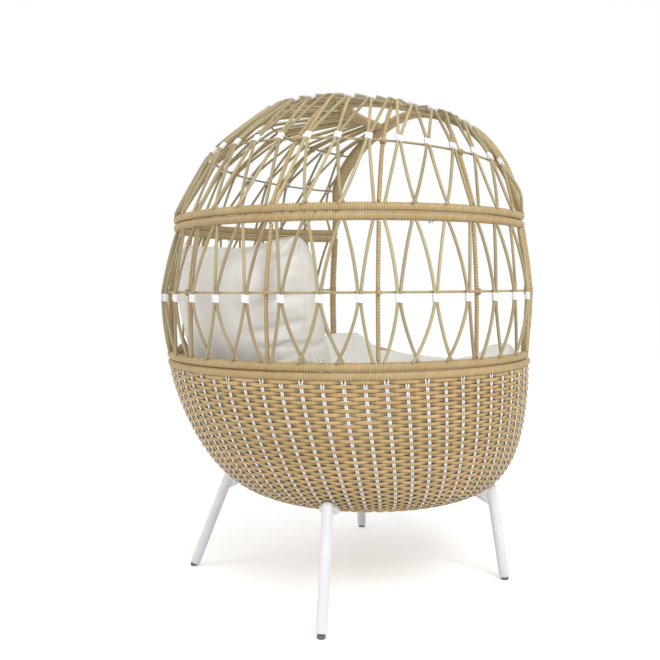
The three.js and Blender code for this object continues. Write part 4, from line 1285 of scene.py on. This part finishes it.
def blown_up(piece, points, cap):
    """The points after a cloth simulation under pressure; none moves much further than cap."""
    cloth = piece.modifiers.new("cloth", "CLOTH")
    settings = cloth.settings
    settings.quality = 5
    settings.mass = 0.25
    settings.tension_stiffness = 12
    settings.compression_stiffness = 12
    settings.shear_stiffness = 4
    settings.bending_stiffness = 0.4
    settings.use_pressure = True
    settings.uniform_pressure_force = 4
    settings.shrink_min = -0.03
    settings.effector_weights.gravity = 0
    cloth.collision_settings.use_collision = False
    cloth.collision_settings.use_self_collision = False
    scene = bpy.context.scene
    for number in range(1, CLOTH_FRAMES + 1):
        scene.frame_set(number)
    graph = bpy.context.evaluated_depsgraph_get()
    moved = mesh_points(piece.evaluated_get(graph).to_mesh())
    piece.modifiers.clear()
    scene.frame_set(1)
    step = moved - points
    length = np.linalg.norm(step, axis=1, keepdims=True)
    return points + step / np.maximum(length, 1e-9) * cap * np.tanh(length / cap)


def cushion(name, node, voxel, inset, cap, rounds, relief, lift=None):
    """Fabric over soft filling: the CAD solid, drawn in a little and then blown up as cloth."""
    piece = new_object(name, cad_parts[node].data.copy())
    remesh = piece.modifiers.new("skin", "REMESH")
    remesh.mode = "VOXEL"
    remesh.voxel_size = voxel
    mesh = baked(piece)
    points = smoothed(mesh_points(mesh), mesh_values(mesh.edges, "vertices", 2, int), rounds)
    if lift:
        points[:, 2] += lift(points) / 1000
    move_points(mesh, points)
    points = move_points(mesh, points - vertex_normals(mesh) * inset)
    move_points(mesh, blown_up(piece, points, cap))
    finer = piece.modifiers.new("finer", "SUBSURF")
    finer.levels = finer.render_levels = 1
    mesh = baked(piece)
    points = mesh_points(mesh)
    move_points(mesh, points + vertex_normals(mesh) * relief(points)[:, None] / 1000)
    mesh.polygons.foreach_set("use_smooth", np.ones(len(mesh.polygons), bool))
    mesh.materials.clear()
    mesh.materials.append(cover)
    return settle(piece, "canvas", [node])


cushion("back_pillow", "back_cushion", 0.006, 0.006, 0.013, 6, pillow_relief)
cushion("seat_pad", "seat_cushion", 0.007, 0.008, 0.010, 8, seat_relief, seat_lift)

# ---- Floor, world and lamps ----

FLOOR_HALF = 40.0


def floor_material():
    """Pale matt floor: the camera and glossy rays also get a little plain white from it."""
    n = material_nodes("studio_floor")
    n.tree.nodes.clear()
    glow_strength = n.maths("MULTIPLY", n.seen_by("Camera", "Glossy"), 0.34)
    diffuse = n.add("ShaderNodeBsdfDiffuse", {"Color": (0.93, 0.93, 0.93, 1)})[0]
    glow = n.add("ShaderNodeEmission", {"Color": WHITE, "Strength": glow_strength})[0]
    both = n.add("ShaderNodeAddShader", {0: diffuse, 1: glow})[0]
    n.add("ShaderNodeOutputMaterial", {"Surface": both})
    return n.owner


floor_mesh = bpy.data.meshes.new("studio_floor")
corners = [(FLOOR_HALF * x, FLOOR_HALF * y, 0) for x, y in ((-1, -1), (1, -1), (1, 1), (-1, 1))]
floor_mesh.from_pydata(corners, [], [(0, 1, 2, 3)])
floor_mesh.materials.append(floor_material())
floor = new_object("studio_floor", floor_mesh)

world = bpy.data.worlds.new("studio")
bpy.context.scene.world = world
sky = Nodes(world, "Background", Color=WHITE)
brightness = sky.grey(sky.seen_by("Camera", "Glossy", "Transmission"), 0.72, 1.0)
sky.link(brightness, sky.shader.inputs["Strength"])


def lamp(name, place, target, size, power):
    data = bpy.data.lights.new(name, "AREA")
    data.shape = "DISK"
    data.size = size
    data.energy = power
    lamp_object = new_object(name, data)
    lamp_object.location = place
    aim = Vector(target) - Vector(place)
    lamp_object.rotation_mode = "QUATERNION"
    lamp_object.rotation_quaternion = aim.to_track_quat("-Z", "Y")


lamp("key", (-3.4, 0.6, 3.4), (0, 0, 0.8), 2.2, 95)
lamp("fill", (1.2, 3.6, 2.6), (0, 0, 0.7), 2.6, 35)

bpy.context.scene.view_settings.view_transform = "Standard"
